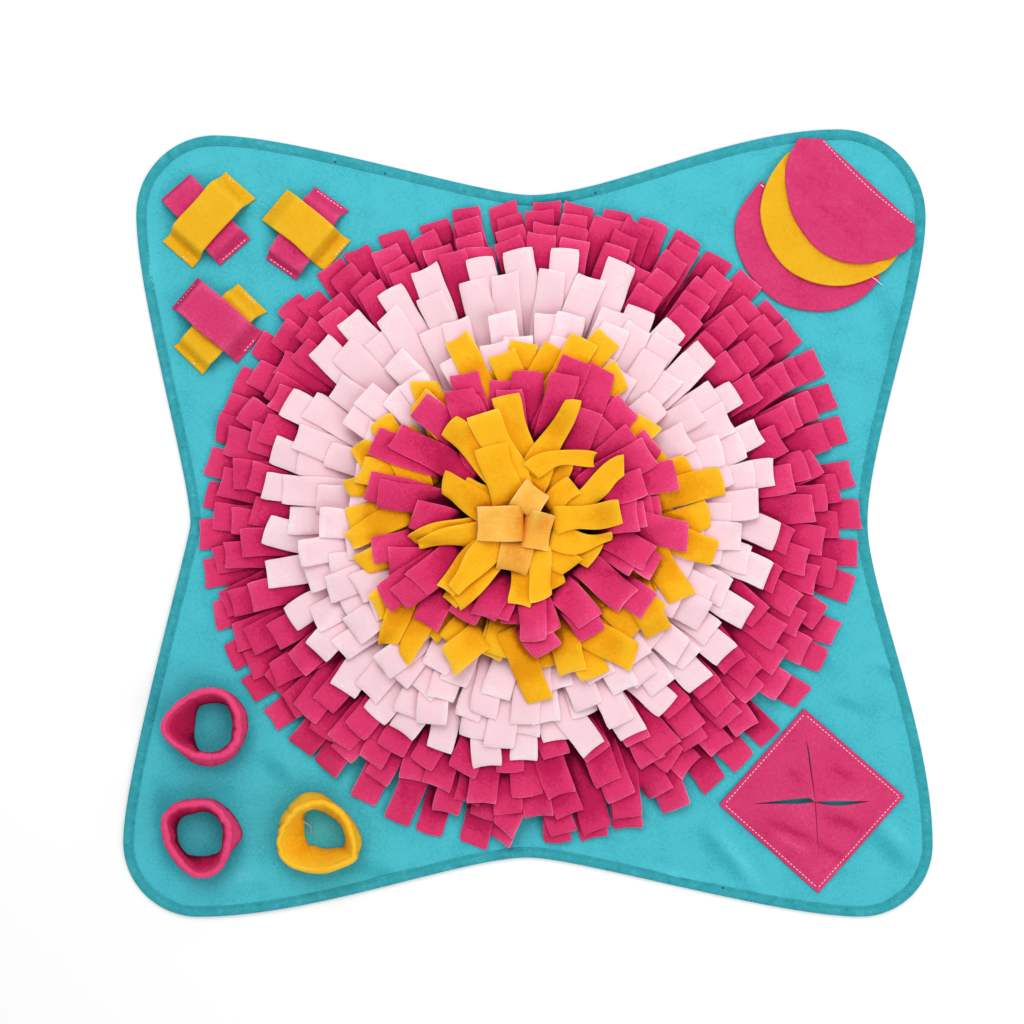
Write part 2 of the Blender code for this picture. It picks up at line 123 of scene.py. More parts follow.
@dataclass(frozen=True)
class ClothFinish:
    """Polyester felt or fleece: matt fibres lying at random, which give a soft grain, a slow
    mottling where the fibre lies thicker or thinner, and a pale nap at grazing angles."""

    name: str
    slot: str
    colour: str
    deep: str
    pale: str
    # palest colour, reached by painted highlights on edges and by the palest grain
    rim: str
    # darkest colour, reached by painted shade in hollows and by the deepest grain
    shade: str
    grain_mm: float = 2.3  # fibre clumps; single fibres are far too fine to show
    mottle_mm: float = 28.0
    grain_share: float = 0.55
    mottle_share: float = 0.40
    relief_mm: float = 0.18
    wander_mm: float = 9.0
    wander_relief_mm: float = 0.35
    sheen: float = 0.04
    roughness: float = 0.95
    fibre_stretch: float = 1.0
    glow: float = 0.0  # light that comes through the cloth
    glow_mm: tuple[float, float, float] = (3.0, 1.0, 1.4)

    def material(self) -> bpy.types.Material:
        """Builds the material, or returns it if it is there.

        Returns:
            The material.
        """
        if self.name in bpy.data.materials:
            return bpy.data.materials[self.name]
        material, tree = blank_material(self.name)
        place = add_node(tree, "ShaderNodeTexCoord").outputs["Object"]
        drawn = add_node(
            tree, "ShaderNodeMapping", links={"Vector": place},
            sockets={"Scale": (1.0, self.fibre_stretch, 1.0), "Rotation": (0.0, 0.0, 0.6)},
        ).outputs["Vector"]
        grain, mottle, wander = (
            add_node(
                tree,
                "ShaderNodeTexNoise",
                links={"Vector": source},
                sockets={"Scale": 1 / (size * MM), "Detail": detail, "Roughness": roughness},
            ).outputs["Fac"]
            for source, size, detail, roughness in (
                (drawn, self.grain_mm, 3.0, 0.65),
                (place, self.mottle_mm, 4.0, 0.55),
                (place, self.wander_mm, 2.0, 0.5),
            )
        )
        # the tone attribute carries random tone and painted light and shade
        tone = add_node(tree, "ShaderNodeAttribute", attribute_name="tone").outputs["Fac"]
        mottled = tone
        for pattern, part in ((grain, self.grain_share), (mottle, self.mottle_share)):
            added = {0: pattern, 2: mottled}
            mottled = add_node(
                tree, "ShaderNodeMath", operation="MULTIPLY_ADD", links=added, sockets={1: part}
            ).outputs[0]
        middle = 0.6 - (self.grain_share + self.mottle_share) / 2
        centred = add_node(
            tree, "ShaderNodeMath", operation="ADD", links={0: mottled}, sockets={1: middle}
        ).outputs[0]
        ramp = add_node(tree, "ShaderNodeValToRGB", links={"Fac": centred})
        ramp.color_ramp.interpolation = "EASE"
        for element, (at, colour) in zip(ramp.color_ramp.elements, ((0.0, self.shade), (1.0, self.rim))):
            element.position = at
            element.color = linear_rgb(colour)
        for at, colour in ((0.34, self.deep), (0.6, self.colour), (0.84, self.pale)):
            ramp.color_ramp.elements.new(at).color = linear_rgb(colour)
        nap = None
        for height, relief in ((wander, self.wander_relief_mm), (grain, self.relief_mm)):
            nap = add_node(
                tree,
                "ShaderNodeBump",
                links={"Height": height} | ({} if nap is None else {"Normal": nap}),
                sockets={"Strength": 1.0, "Distance": relief * MM},
            ).outputs["Normal"]
        shader = add_node(
            tree,
            "ShaderNodeBsdfPrincipled",
            links={"Base Color": ramp.outputs["Color"], "Normal": nap},
            sockets={
                "Roughness": self.roughness,
                "Specular IOR Level": 0.03,
                "Sheen Weight": self.sheen,
                "Sheen Roughness": 0.45,
                "Sheen Tint": linear_rgb(self.pale),
                "Subsurface Weight": self.glow,
                "Subsurface Radius": self.glow_mm,
                "Subsurface Scale": MM,
            },
        )
        add_node(tree, "ShaderNodeOutputMaterial", links={"Surface": shader.outputs["BSDF"]})
        return material


@dataclass(frozen=True)
class ThreadFinish:
    """Spun polyester sewing thread: smooth, slightly shiny and of one colour."""

    name: str
    slot: str
    colour: str
    pale: str
    ply_mm: float = 1.2  # the twist, drawn as coarse as it shows

    def material(self) -> bpy.types.Material:
        """Builds the material, or returns it if it is there.

        Returns:
            The material.
        """
        if self.name in bpy.data.materials:
            return bpy.data.materials[self.name]
        material, tree = blank_material(self.name)
        place = add_node(tree, "ShaderNodeTexCoord").outputs["Object"]
        twist = add_node(
            tree, "ShaderNodeTexNoise", links={"Vector": place},
            sockets={"Scale": 1 / (self.ply_mm * MM), "Detail": 1.0},
        ).outputs["Fac"]
        colour = add_node(
            tree, "ShaderNodeMix", data_type="RGBA", links={"Factor": twist},
            sockets={6: linear_rgb(self.colour), 7: linear_rgb(self.pale)},
        ).outputs[2]
        shader = add_node(
            tree, "ShaderNodeBsdfPrincipled", links={"Base Color": colour},
            sockets={"Roughness": 0.6, "Specular IOR Level": 0.3},
        )
        add_node(tree, "ShaderNodeOutputMaterial", links={"Surface": shader.outputs["BSDF"]})
        return material


class Finish(Enum):
    """The cloths and threads of the mat."""

    TEAL_FELT = ClothFinish(
        "teal_pressed_felt", "teal_felt", "4DBECB", "3EACBA", "5FCCD7", "86DCE3", "1F7480",
        mottle_mm=40.0, mottle_share=0.25, wander_mm=16.0,
    )
    TEAL_TAPE = ClothFinish(
        "teal_binding_tape", "teal_tape", "37A0AC", "288A96", "48B1BC", "74CBD2", "1C6B75",
        mottle_mm=7.0, mottle_share=0.7,
    )
    MAGENTA_FELT = ClothFinish(
        "magenta_pressed_felt", "magenta_felt", "D33D70", "BD275B", "E05584", "EB769C", "8C0E39",
        glow=0.25, glow_mm=(2.5, 0.4, 0.7),
    )
    YELLOW_FELT = ClothFinish(
        "yellow_pressed_felt", "yellow_felt", "EBB323", "DD9E17", "F2BF33", "F8D05C", "BE780B",
        glow=0.4, glow_mm=(3.0, 1.4, 0.5),
    )
    MAGENTA_FLEECE = ClothFinish(
        "magenta_brushed_fleece", "magenta_fleece", "DA386B", "BC2052", "EA4D80", "F67DA3", "7A0A30",
        grain_share=0.4, mottle_share=0.3, glow=0.1, glow_mm=(2.5, 0.4, 0.7),
    )
    PINK_FLEECE = ClothFinish(
        "pink_brushed_fleece", "pink_fleece", "FAD3DB", "F9CDD6", "FDE0E7", "FFF6F8", "F8C8D2",
        glow=0.35, glow_mm=(3.6, 2.6, 2.8),
    )
    YELLOW_FLEECE = ClothFinish(
        "yellow_brushed_fleece", "yellow_fleece", "FAB722", "EE9F14", "FEC436", "FFD660", "C06A06",
        grain_share=0.35, mottle_share=0.3, glow=0.35, glow_mm=(3.0, 1.6, 0.6),
    )
    AMBER_FLEECE = ClothFinish(
        "amber_brushed_fleece", "amber_fleece", "F4B047", "E5932F", "F8C25C", "FBD68A", "CC7A20",
        grain_mm=3.2, grain_share=0.45, mottle_mm=16.0, fibre_stretch=3.0, glow=0.35,
        glow_mm=(3.0, 1.6, 0.8),
    )
    WHITE_THREAD = ThreadFinish("white_sewing_thread", "magenta_felt", "F6F0F2", "FFFFFF")
    TEAL_THREAD = ThreadFinish("dark_teal_sewing_thread", "teal_tape", "2A8C96", "369CA6")
    KNOT_THREAD = ThreadFinish("knotted_teal_thread", "teal_tape", "0F4A52", "175B64")
    GREY_THREAD = ThreadFinish("grey_sewing_thread", "yellow_fleece", "A7A79F", "C0C0B8")


# ---- surfaces


@dataclass(frozen=True)
class SheetPattern:
    """How the points of a cloth's middle surface, a grid of rows and columns, make its closed skin.

    The upper and lower side share the points along the free edges, which lie at the middle of the
    ply, so an edge is rounded off. Rows may close to a ring, as along a mat's edge.
    """

    rows: int
    columns: int
    closed: bool = False

    def inside(self) -> Array:
        """Which grid points have an upper and a lower copy.

        Returns:
            True for each of those, rows by columns.
        """
        inside = np.ones((self.rows, self.columns), bool)
        inside[:, [0, -1]] = False
        if not self.closed:
            inside[[0, -1]] = False
        return inside

    def both(self, values: Array) -> Array:
        """One value for each point of the skin from one for each point of the grid."""
        return np.concatenate([values.ravel(), values[self.inside()]])

    def rim(self) -> Array:
        """1 for the skin's points on the free edges and 0 for the others."""
        return self.both(np.where(self.inside(), 0.0, 1.0))

    def faces(self) -> Array:
        """Quads of both sides; the step along a row's columns turned from the step along the rows
        is the upper side's outward direction.

        Returns:
            Point indices, four to a face.
        """
        inside = self.inside()
        top = np.arange(self.rows * self.columns).reshape(self.rows, self.columns)
        bottom = top.copy()
        bottom[inside] = top.size + np.arange(inside.sum())
        quads = []
        for index in (top, bottom):
            here = index if self.closed else index[:-1]
            there = np.roll(index, -1, axis=0) if self.closed else index[1:]
            corners = [here[:, :-1], there[:, :-1], there[:, 1:], here[:, 1:]]
            quads.append(np.stack(corners, -1).reshape(-1, 4))
        return np.concatenate([quads[0], quads[1][:, ::-1]])

    def skin(self, grid: Array, ply: float) -> Array:
        """Points of both sides, half a ply off the middle surface along its normals.

        Args:
            grid: rows by columns by 3, in millimetres.
            ply: the cloth's thickness.

        Returns:
            The skin's points, in the order that faces() counts them.
        """
        inside = self.inside()[..., None]
        normals = surface_normals(grid, self.closed)
        top = grid + normals * (ply / 2) * inside
        bottom = (grid - normals * ply / 2)[inside[..., 0]]
        return np.concatenate([top.reshape(-1, 3), bottom])


def surface_normals(grid: Array, closed: bool = False) -> Array:
    """Unit normals of a grid: the step along the rows crossed with the step along the columns.

    Args:
        grid: rows by columns by 3.
        closed: whether the rows close to a ring.

    Returns:
        One for each point.
    """
    if closed:
        along = np.roll(grid, -1, axis=0) - np.roll(grid, 1, axis=0)
    else:
        along = np.gradient(grid, axis=0)
    across = np.gradient(grid, axis=1)
    normals = np.cross(along, across)
    return normals / np.maximum(np.linalg.norm(normals, axis=-1, keepdims=True), 1e-9)


def ring_quads(index: Array) -> Array:
    """Quads between each closed ring of points and the next.

    Args:
        index: point indices, one row a ring.

    Returns:
        Point indices, four to a face.
    """
    here, there = index[:-1], index[1:]
    return np.stack([here, np.roll(here, -1, 1), np.roll(there, -1, 1), there], -1).reshape(-1, 4)


def edged(count: int, size: float, edge: float) -> Array:
    """Even steps from 0 to 1 with one more point close to each end, where the cloth's cut edge
    rounds off.

    Args:
        count: how many values, the two close to the ends included.
        size: the cloth's size that way.
        edge: how far in from its edge the rounding starts.

    Returns:
        The values, rising from 0 to 1.
    """
    near = edge / size
    return np.concatenate([[0.0], np.linspace(near, 1.0 - near, count - 2), [1.0]])


def smooth_step(low: float, high: float, value: Array) -> Array:
    """0 below low, 1 above high, and an even S between."""
    share = np.clip((value - low) / (high - low), 0.0, 1.0)
    return share * share * (3.0 - 2.0 * share)


def make_piece(
    name: str, points: Array, faces: list[Array] | Array, finish: Finish, tone: Array | None = None
) -> bpy.types.Object:
    """A new smooth mesh that rides on the mat.

    Args:
        name: the piece's name.
        points: its points in millimetres.
        faces: one array of faces, or several of unlike corners.
        finish: its cloth or thread.
        tone: a small lightening or darkening for each point: random tone, painted light and painted shade.

    Returns:
        The object, at the origin.
    """
    batches = faces if isinstance(faces, list) else [faces]
    mesh = bpy.data.meshes.new(name)
    mesh.from_pydata((points * MM).tolist(), [], [face for batch in batches for face in batch.tolist()])
    mesh.shade_smooth()
    mesh.set_sharp_from_angle(angle=math.radians(SHARP_ANGLE))
    mesh.materials.append(finish.value.material())
    attribute = mesh.attributes.new("tone", "FLOAT", "POINT")
    attribute.data.foreach_set("value", np.zeros(len(points)) if tone is None else tone)
    obj = bpy.data.objects.new(name, mesh)
    bpy.context.scene.collection.objects.link(obj)
    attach(obj, BODY)
    LOG.info("%s: %d faces, %s", name, len(mesh.polygons), finish.value.name)
    return obj


def path_length(points: Array) -> float:
    """Length of a line of points."""
    return float(np.linalg.norm(np.diff(points, axis=0), axis=1).sum())


def resampled(points: Array, steps: Array) -> Array:
    """Points at the given lengths along a line of points."""
    lengths = np.concatenate([[0.0], np.cumsum(np.linalg.norm(np.diff(points, axis=0), axis=1))])
    return np.stack([np.interp(steps, lengths, points[:, axis]) for axis in range(points.shape[1])], -1)


class PileField:
    """Height of the pile so far, on an even grid of cells."""

    def __init__(self, reach: float = 352.0, cell: float = 1.2, floor: float = SEAT) -> None:
        """An empty field.

        Args:
            reach: how far it goes from the middle.
            cell: the side of a cell.
            floor: the height with nothing on it.
        """
        self.reach = reach
        self.cell = cell
        count = int(2 * reach / cell) + 2
        self.height = np.full((count, count), floor)

    def cells(self, points: Array) -> tuple[Array, Array]:
        """Places in the grid of points, as fractions of cells.

        Args:
            points: in millimetres.

        Returns:
            Their x and y in cells.
        """
        share = (points[..., :2] + self.reach) / self.cell
        share = np.clip(share, 0, len(self.height) - 2.001)
        return share[..., 0], share[..., 1]

    def under(self, points: Array) -> Array:
        """Highest of the four cells round each point.

        Args:
            points: in millimetres.

        Returns:
            A height for each.
        """
        x, y = self.cells(points)
        i, j = x.astype(int), y.astype(int)
        pair = np.maximum(self.height[i, j], self.height[i + 1, j])
        return np.maximum(pair, np.maximum(self.height[i, j + 1], self.height[i + 1, j + 1]))

    def cover(self, grid: Array, ply: float, finer: int = 4) -> None:
        """Raises the cells that a sheet lies over to its upper side, sampled finer than a cell.

        Args:
            grid: the sheet's middle surface.
            ply: its thickness.
            finer: samples to a step of the grid.
        """
        fine = grid
        for axis in (0, 1):
            place = np.linspace(0, fine.shape[axis] - 1, (fine.shape[axis] - 1) * finer + 1)
            low = np.minimum(place.astype(int), fine.shape[axis] - 2)
            part = np.expand_dims(place - low, tuple(k for k in range(3) if k != axis))
            fine = np.take(fine, low, axis) * (1 - part) + np.take(fine, low + 1, axis) * part
        x, y = self.cells(fine)
        np.maximum.at(self.height, (np.rint(x).astype(int), np.rint(y).astype(int)), fine[..., 2] + ply / 2)

    def softened(self, passes: int) -> PileField:
        """A copy whose heights are evened out a number of times; n passes blur it by sqrt(2 n / 3) cells.

        Args:
            passes: how many times.

        Returns:
            The copy.
        """
        copy = PileField(self.reach, self.cell)
        copy.height = self.height
        for _ in range(passes):
            copy.height = evened(copy.height)
        return copy


def paint_depth_light_and_shade(
    pieces: list[bpy.types.Object], field: PileField, deepest: float = 6.5, proudest: float = 2.0,
    near_share: float = 0.65, tone_per_mm: float = 0.08,
) -> None:
    """Paints shade into the colour of cloth that lies below what is round it, and paints light onto
    what stands out: tone falls with the softened pile's height less the cloth's own.

    Args:
        pieces: the cloth pieces.
        field: height of everything on the panel.
        deepest: from what depth on the colour stays the same, in millimetres.
        proudest: from what height above it on the colour stays the same.
        near_share: weight of the close surroundings against the wide ones.
        tone_per_mm: how much painted shade each millimetre of depth adds.
    """
    near, wide = field.softened(7), field.softened(36)
    for piece in pieces:
        count = len(piece.data.vertices)
        points, tone = np.empty(3 * count), np.empty(count)
        piece.data.vertices.foreach_get("co", points)
        piece.data.attributes["tone"].data.foreach_get("value", tone)
        points = points.reshape(-1, 3) / MM
        depth = near_share * near.under(points) + (1 - near_share) * wide.under(points) - points[:, 2]
        tone -= tone_per_mm * np.clip(depth, -proudest, deepest)
        piece.data.attributes["tone"].data.foreach_set("value", tone)


def evened(values: Array) -> Array:
    """Each value's mean with its eight neighbours.

    Args:
        values: rows by columns.

    Returns:
        The means.
    """
    padded = np.pad(values, 1, mode="edge")
    rows = padded[:-2] + padded[1:-1] + padded[2:]
    return (rows[:, :-2] + rows[:, 1:-1] + rows[:, 2:]) / 9


def through(before: Array, here: Array, there: Array, after: Array, part: Array) -> Array:
    """The cubic from here to there whose slope at either end is half the difference of that end's
    neighbours.

    Args:
        before: the value before here.
        here: the value at the start.
        there: the value at the end.
        after: the value after there.
        part: the share of the way, from 0 to 1.

    Returns:
        The curve's values.
    """
    return (
        here * (2 * part**3 - 3 * part**2 + 1)
        + (there - before) / 2 * (part**3 - 2 * part**2 + part)
        + there * (3 * part**2 - 2 * part**3)
        + (after - here) / 2 * (part**3 - part**2)
    )


def smooth_path(points: Array, steps: int) -> Array:
    """A smooth line through points, a cubic between each two.

    Args:
        points: what it goes through.
        steps: how many points to return.

    Returns:
        Points along it.
    """
    padded = np.concatenate([points[:1], points, points[-1:]])
    place = np.linspace(0.0, len(points) - 1.001, steps)
    index = place.astype(int)
    part = (place - index)[:, None]
    return through(*(padded[index + k] for k in range(4)), part)


@dataclass
class Seam:
    """A line of sewing: short dashes of thread, each a bead with tapered ends, sunk in the cloth."""

    stitch: float = 2.1
    gap: float = 1.3
    width: float = 0.6
    height: float = 0.5
    sides: int = 6
    rings: tuple[tuple[float, float], ...] = ((-1.0, 0.0), (-0.7, 0.8), (0.0, 1.0), (0.7, 0.8), (1.0, 0.0))

    def bead(self) -> Beads:
        """A unit bead along its first axis: rings of points whose size follows the taper, with faces
        between one ring and the next. The end rings have no size and close it.

        Returns:
            Points and quads.
        """
        turns = np.arange(self.sides) / self.sides * 2 * math.pi
        place, size = np.array(self.rings).T
        turned = size[:, None] * np.cos(turns), size[:, None] * np.sin(turns)
        points = np.stack([np.repeat(place[:, None], self.sides, 1), *turned], -1)
        index = np.arange(points[..., 0].size).reshape(len(place), self.sides)
        return points.reshape(-1, 3), ring_quads(index)

    def beads(self, line: Array) -> Beads:
        """Beads one after another along a line.

        Args:
            line: the seam's points on the cloth's surface.

        Returns:
            Points and quads of all the beads.
        """
        length = path_length(line)
        starts = np.arange(self.gap, length - self.stitch, self.stitch + self.gap)
        first, last = resampled(line, starts), resampled(line, starts + self.stitch)
        return self.placed(first, last)

    def placed(self, first: Array, last: Array) -> Beads:
        """Beads between pairs of points.

        Args:
            first: where each bead starts.
            last: where each bead ends.

        Returns:
            Points and quads of all the beads.
        """
        unit, quads = self.bead()
        ahead = (last - first) / 2
        beside = np.cross(np.array([0.0, 0.0, 1.0]), ahead)
        beside /= np.maximum(np.linalg.norm(beside, axis=1, keepdims=True), 1e-9)
        up = np.cross(ahead, beside)
        up /= np.maximum(np.linalg.norm(up, axis=1, keepdims=True), 1e-9)
        points = (
            ((first + last) / 2)[:, None]
            + ahead[:, None] * unit[None, :, 0:1]
            + beside[:, None] * unit[None, :, 1:2] * self.width / 2
            + up[:, None] * unit[None, :, 2:3] * self.height / 2
        )
        counts = np.arange(len(first))[:, None, None] * len(unit)
        return points.reshape(-1, 3), (quads[None] + counts).reshape(-1, 4)


@dataclass(frozen=True)
class LooseThread:
    """A thread's loose end: short beads that overlap along a smooth line."""

    finish: Finish
    width: float
    points: tuple[tuple[float, float, float], ...]
    bead: float = 1.5
    pitch: float = 0.9
    steps: int = 60

    def beads(self) -> Beads:
        """Points and quads of the beads.

        Returns:
            One array of each.
        """
        line = smooth_path(np.array(self.points), self.steps)
        length = path_length(line)
        starts = np.linspace(0.0, length - self.bead, max(int(length / self.pitch), 2))
        seam = Seam(width=self.width, height=self.width)
        return seam.placed(resampled(line, starts), resampled(line, starts + self.bead))


def joined(parts: list[Beads]) -> Beads:
    """Several meshes' points and quads as one mesh's.

    Args:
        parts: points and quads of each.

    Returns:
        Points and quads.
    """
    offsets = np.cumsum([0] + [len(points) for points, _ in parts[:-1]])
    return (
        np.concatenate([points for points, _ in parts]),
        np.concatenate([quads + offset for (_, quads), offset in zip(parts, offsets)]),
    )


# ---- base panel and binding


@dataclass(frozen=True)
class MatOutline:
    """The mat's edge: a quarter round at each corner, and on each side two curves that meet in a
    waist. Corners run counter-clockwise from the top right."""

    corners: tuple[tuple[float, float, float], ...] = (
        (268.2, 264.8, 75.3),
        (-270.0, 266.5, 68.4),
        (-284.7, -275.2, 65.0),
        (287.3, -277.8, 62.3),
    )
    waists: tuple[tuple[float, ...], ...] = (
        (2.0, 283.4, 0.35, 0.25, 0.15, 0.25),
        (-291.6, 0.0, 0.25, 0.15, 0.05, 0.20),
        (0.0, -289.0, 0.35, 0.20, 0.15, 0.25),
        (293.3, 0.0, 0.35, 0.20, 0.25, 0.25),
    )
    steps: int = 60

    def curve(self, start: Array, first: Array, second: Array, end: Array) -> Array:
        """Points along a cubic curve, its start included and its end left out.

        Args:
            start: its first point.
            first: what it leaves towards.
            second: what it arrives from.
            end: its last point.

        Returns:
            Its points.
        """
        t = (np.arange(self.steps) / self.steps)[:, None]
        ends = (1 - t) ** 3 * start + t**3 * end
        return ends + 3 * (1 - t) ** 2 * t * first + 3 * (1 - t) * t**2 * second

    def points(self, count: int) -> Array:
        """The edge as evenly spaced points, counter-clockwise.

        Args:
            count: how many points.

        Returns:
            count by 2, in millimetres.
        """
        stretches = []
        for index, (x, y, radius) in enumerate(self.corners):
            start = math.pi / 2 * index
            turns = start + np.arange(self.steps) / self.steps * math.pi / 2
            stretches.append(np.column_stack([x + radius * np.cos(turns), y + radius * np.sin(turns)]))
            after = start + math.pi / 2
            along = np.array([-math.sin(after), math.cos(after)])
            out = np.array([math.cos(after), math.sin(after)])
            waist_x, waist_y, out_pull, in_ease, out_ease, in_pull = self.waists[index]
            waist = np.array([waist_x, waist_y])
            leave = np.array([x, y]) + radius * out
            next_x, next_y, next_radius = self.corners[(index + 1) % len(self.corners)]
            arrive = np.array([next_x, next_y]) + next_radius * out
            before = along * np.linalg.norm(waist - leave)
            behind = along * np.linalg.norm(arrive - waist)
            stretches.append(self.curve(leave, leave + out_pull * before, waist - in_ease * before, waist))
            stretches.append(self.curve(waist, waist + out_ease * behind, arrive - in_pull * behind, arrive))
        loop = np.concatenate(stretches)
        loop = np.concatenate([loop, loop[:1]])
        return resampled(loop, np.arange(count) / count * path_length(loop))

    def inward(self, points: Array) -> Array:
        """Unit directions square to the edge, into the mat.

        Args:
            points: the edge.

        Returns:
            One for each point.
        """
        along = np.roll(points, -1, axis=0) - np.roll(points, 1, axis=0)
        along /= np.linalg.norm(along, axis=1, keepdims=True)
        return np.column_stack([-along[:, 1], along[:, 0]])


@dataclass(frozen=True)
class Crease:
    """A soft fold left in the felt: a straight ridge, or a trough if its height is below 0."""

    x0: float
    y0: float
    x1: float
    y1: float
    width: float
    height: float

    def relief(self, x: Array, y: Array) -> Array:
        """Height over the panel: a bell across the crease that fades out towards its two ends.

        Args:
            x: places to the right.
            y: places to the top.

        Returns:
            A height for each.
        """
        along = np.array([self.x1 - self.x0, self.y1 - self.y0])
        length = float(np.hypot(*along))
        along /= length
        way = (x - self.x0) * along[0] + (y - self.y0) * along[1]
        off = (y - self.y0) * along[0] - (x - self.x0) * along[1]
        share = np.clip(way / length, 0.0, 1.0)
        past = way - share * length
        fade = np.sin(np.pi * (0.08 + 0.84 * share))
        return self.height * fade * np.exp(-((off**2 + past**2) / self.width**2))


@dataclass
class BasePanel:
    """The flat felt base. Its top is pressed down where the tape is stitched over its edge, and
    carries soft creases and a slow unevenness."""

    outline: MatOutline
    around: int = 860
    edge_inset: float = 1.4
    edge_height: float = 0.8
    pressed_to: float = 2.1
    pressed_end: float = 9.6
    outer_rings: int = 44
    outer_share: float = 0.6
    inner_shares: tuple[float, ...] = (0.42, 0.33, 0.24, 0.15, 0.07)
    bottom_rings: tuple[float, ...] = (0.97, 0.8, 0.5, 0.2)
    swell: float = 0.35
    swell_length: float = 55.0
    creases: tuple[Crease, ...] = (
        Crease(296.0, -116.0, 340.0, -133.0, 4.5, 1.1), Crease(300.0, -124.0, 336.0, -139.0, 4.5, -1.0),
        Crease(232.0, -95.0, 262.0, -128.0, 7.0, -1.0), Crease(262.0, -150.0, 294.0, -165.0, 5.0, -1.0),
        Crease(146.0, -264.0, 196.0, -320.0, 7.0, -1.3), Crease(160.0, -262.0, 206.0, -322.0, 7.0, 1.2),
        Crease(95.0, -296.0, 160.0, -312.0, 6.0, 1.0), Crease(292.0, -262.0, 326.0, -300.0, 8.0, -1.3),
        Crease(304.0, -252.0, 332.0, -286.0, 6.0, 1.0), Crease(-318.0, -214.0, -306.0, -300.0, 8.0, -1.1),
        Crease(-232.0, -200.0, -206.0, -226.0, 6.0, -1.0), Crease(-268.0, -310.0, -230.0, -300.0, 7.0, 1.0),
        Crease(-150.0, -296.0, -110.0, -310.0, 7.0, -1.1), Crease(-222.0, 150.0, -196.0, 128.0, 6.0, -0.9),
        Crease(-330.0, 250.0, -322.0, 180.0, 6.0, 0.9), Crease(310.0, 190.0, 326.0, 120.0, 7.0, -1.0),
        Crease(200.0, 262.0, 226.0, 232.0, 6.0, 0.8),
    )

    def relief(self, x: Array, y: Array) -> Array:
        """Height of the felt's top over its flat level: the creases, and slow swells made of a few
        crossed sine waves.

        Args:
            x: places to the right.
            y: places to the top.

        Returns:
            A height for each.
        """
        turn = 2 * math.pi / self.swell_length
        swell = np.sin(turn * (x + 0.6 * y)) * np.sin(turn * (0.8 * y - 0.3 * x) + 1.1)
        swell += 0.6 * np.sin(turn * 1.9 * (x - 0.7 * y) + 0.5) * np.sin(turn * 1.6 * (x * 0.4 + y))
        return self.swell * (swell - 1.0) / 2 + sum(crease.relief(x, y) for crease in self.creases)

    def build(self) -> bpy.types.Object:
        """Makes the panel: rings from the edge inwards on top and underneath, each the outline drawn
        in towards the middle, closed by a point at the middle of either side.

        Returns:
            The panel.
        """
        edge = self.outline.points(self.around)
        edge = edge + self.outline.inward(edge) * self.edge_inset
        shares = np.concatenate([np.linspace(1.0, self.outer_share, self.outer_rings), self.inner_shares])
        plan = edge[None] * shares[:, None, None]
        inset = np.linalg.norm(edge, axis=1)[None] * (1 - shares[:, None]) + self.edge_inset
        pressed = smooth_step(0.55 * self.pressed_end, self.pressed_end, inset)
        level = PANEL_TOP - self.pressed_to + self.relief(plan[..., 0], plan[..., 1])
        top_z = self.pressed_to + level * pressed
        top = np.concatenate([plan, top_z[..., None]], -1)
        under = edge[None] * np.array(self.bottom_rings)[:, None, None]
        side = np.concatenate([edge, np.full((self.around, 1), self.edge_height)], 1)[None]
        bottom = np.concatenate([under, np.zeros((*under.shape[:2], 1))], -1)
        rings = np.concatenate([bottom[::-1], side, top])
        index = np.arange(rings.shape[0] * self.around).reshape(-1, self.around)
        centre_bottom, centre_top = index.size, index.size + 1
        points = np.concatenate([rings.reshape(-1, 3), [[0.0, 0.0, 0.0], [0.0, 0.0, PANEL_TOP]]])
        first, last = index[0], index[-1]
        low = np.stack([np.roll(first, -1), first, np.full(self.around, centre_bottom)], -1)
        high = np.stack([last, np.roll(last, -1), np.full(self.around, centre_top)], -1)
        # painted light and shade that follow the felt's creases and swells
        tone = RELIEF_LIGHT_AND_SHADE * self.relief(points[:, 0], points[:, 1])
        panel = make_piece("base_panel", points, [ring_quads(index), low, high], Finish.TEAL_FELT, tone)
        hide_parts("mat_panel")
        return panel

    def area(self) -> float:
        """The panel's flat area in square metres, by the shoelace sum.

        Returns:
            The area.
        """
        edge = self.outline.points(self.around) * MM
        after = np.roll(edge, -1, axis=0)
        return float((edge[:, 0] * after[:, 1] - edge[:, 1] * after[:, 0]).sum() / 2)


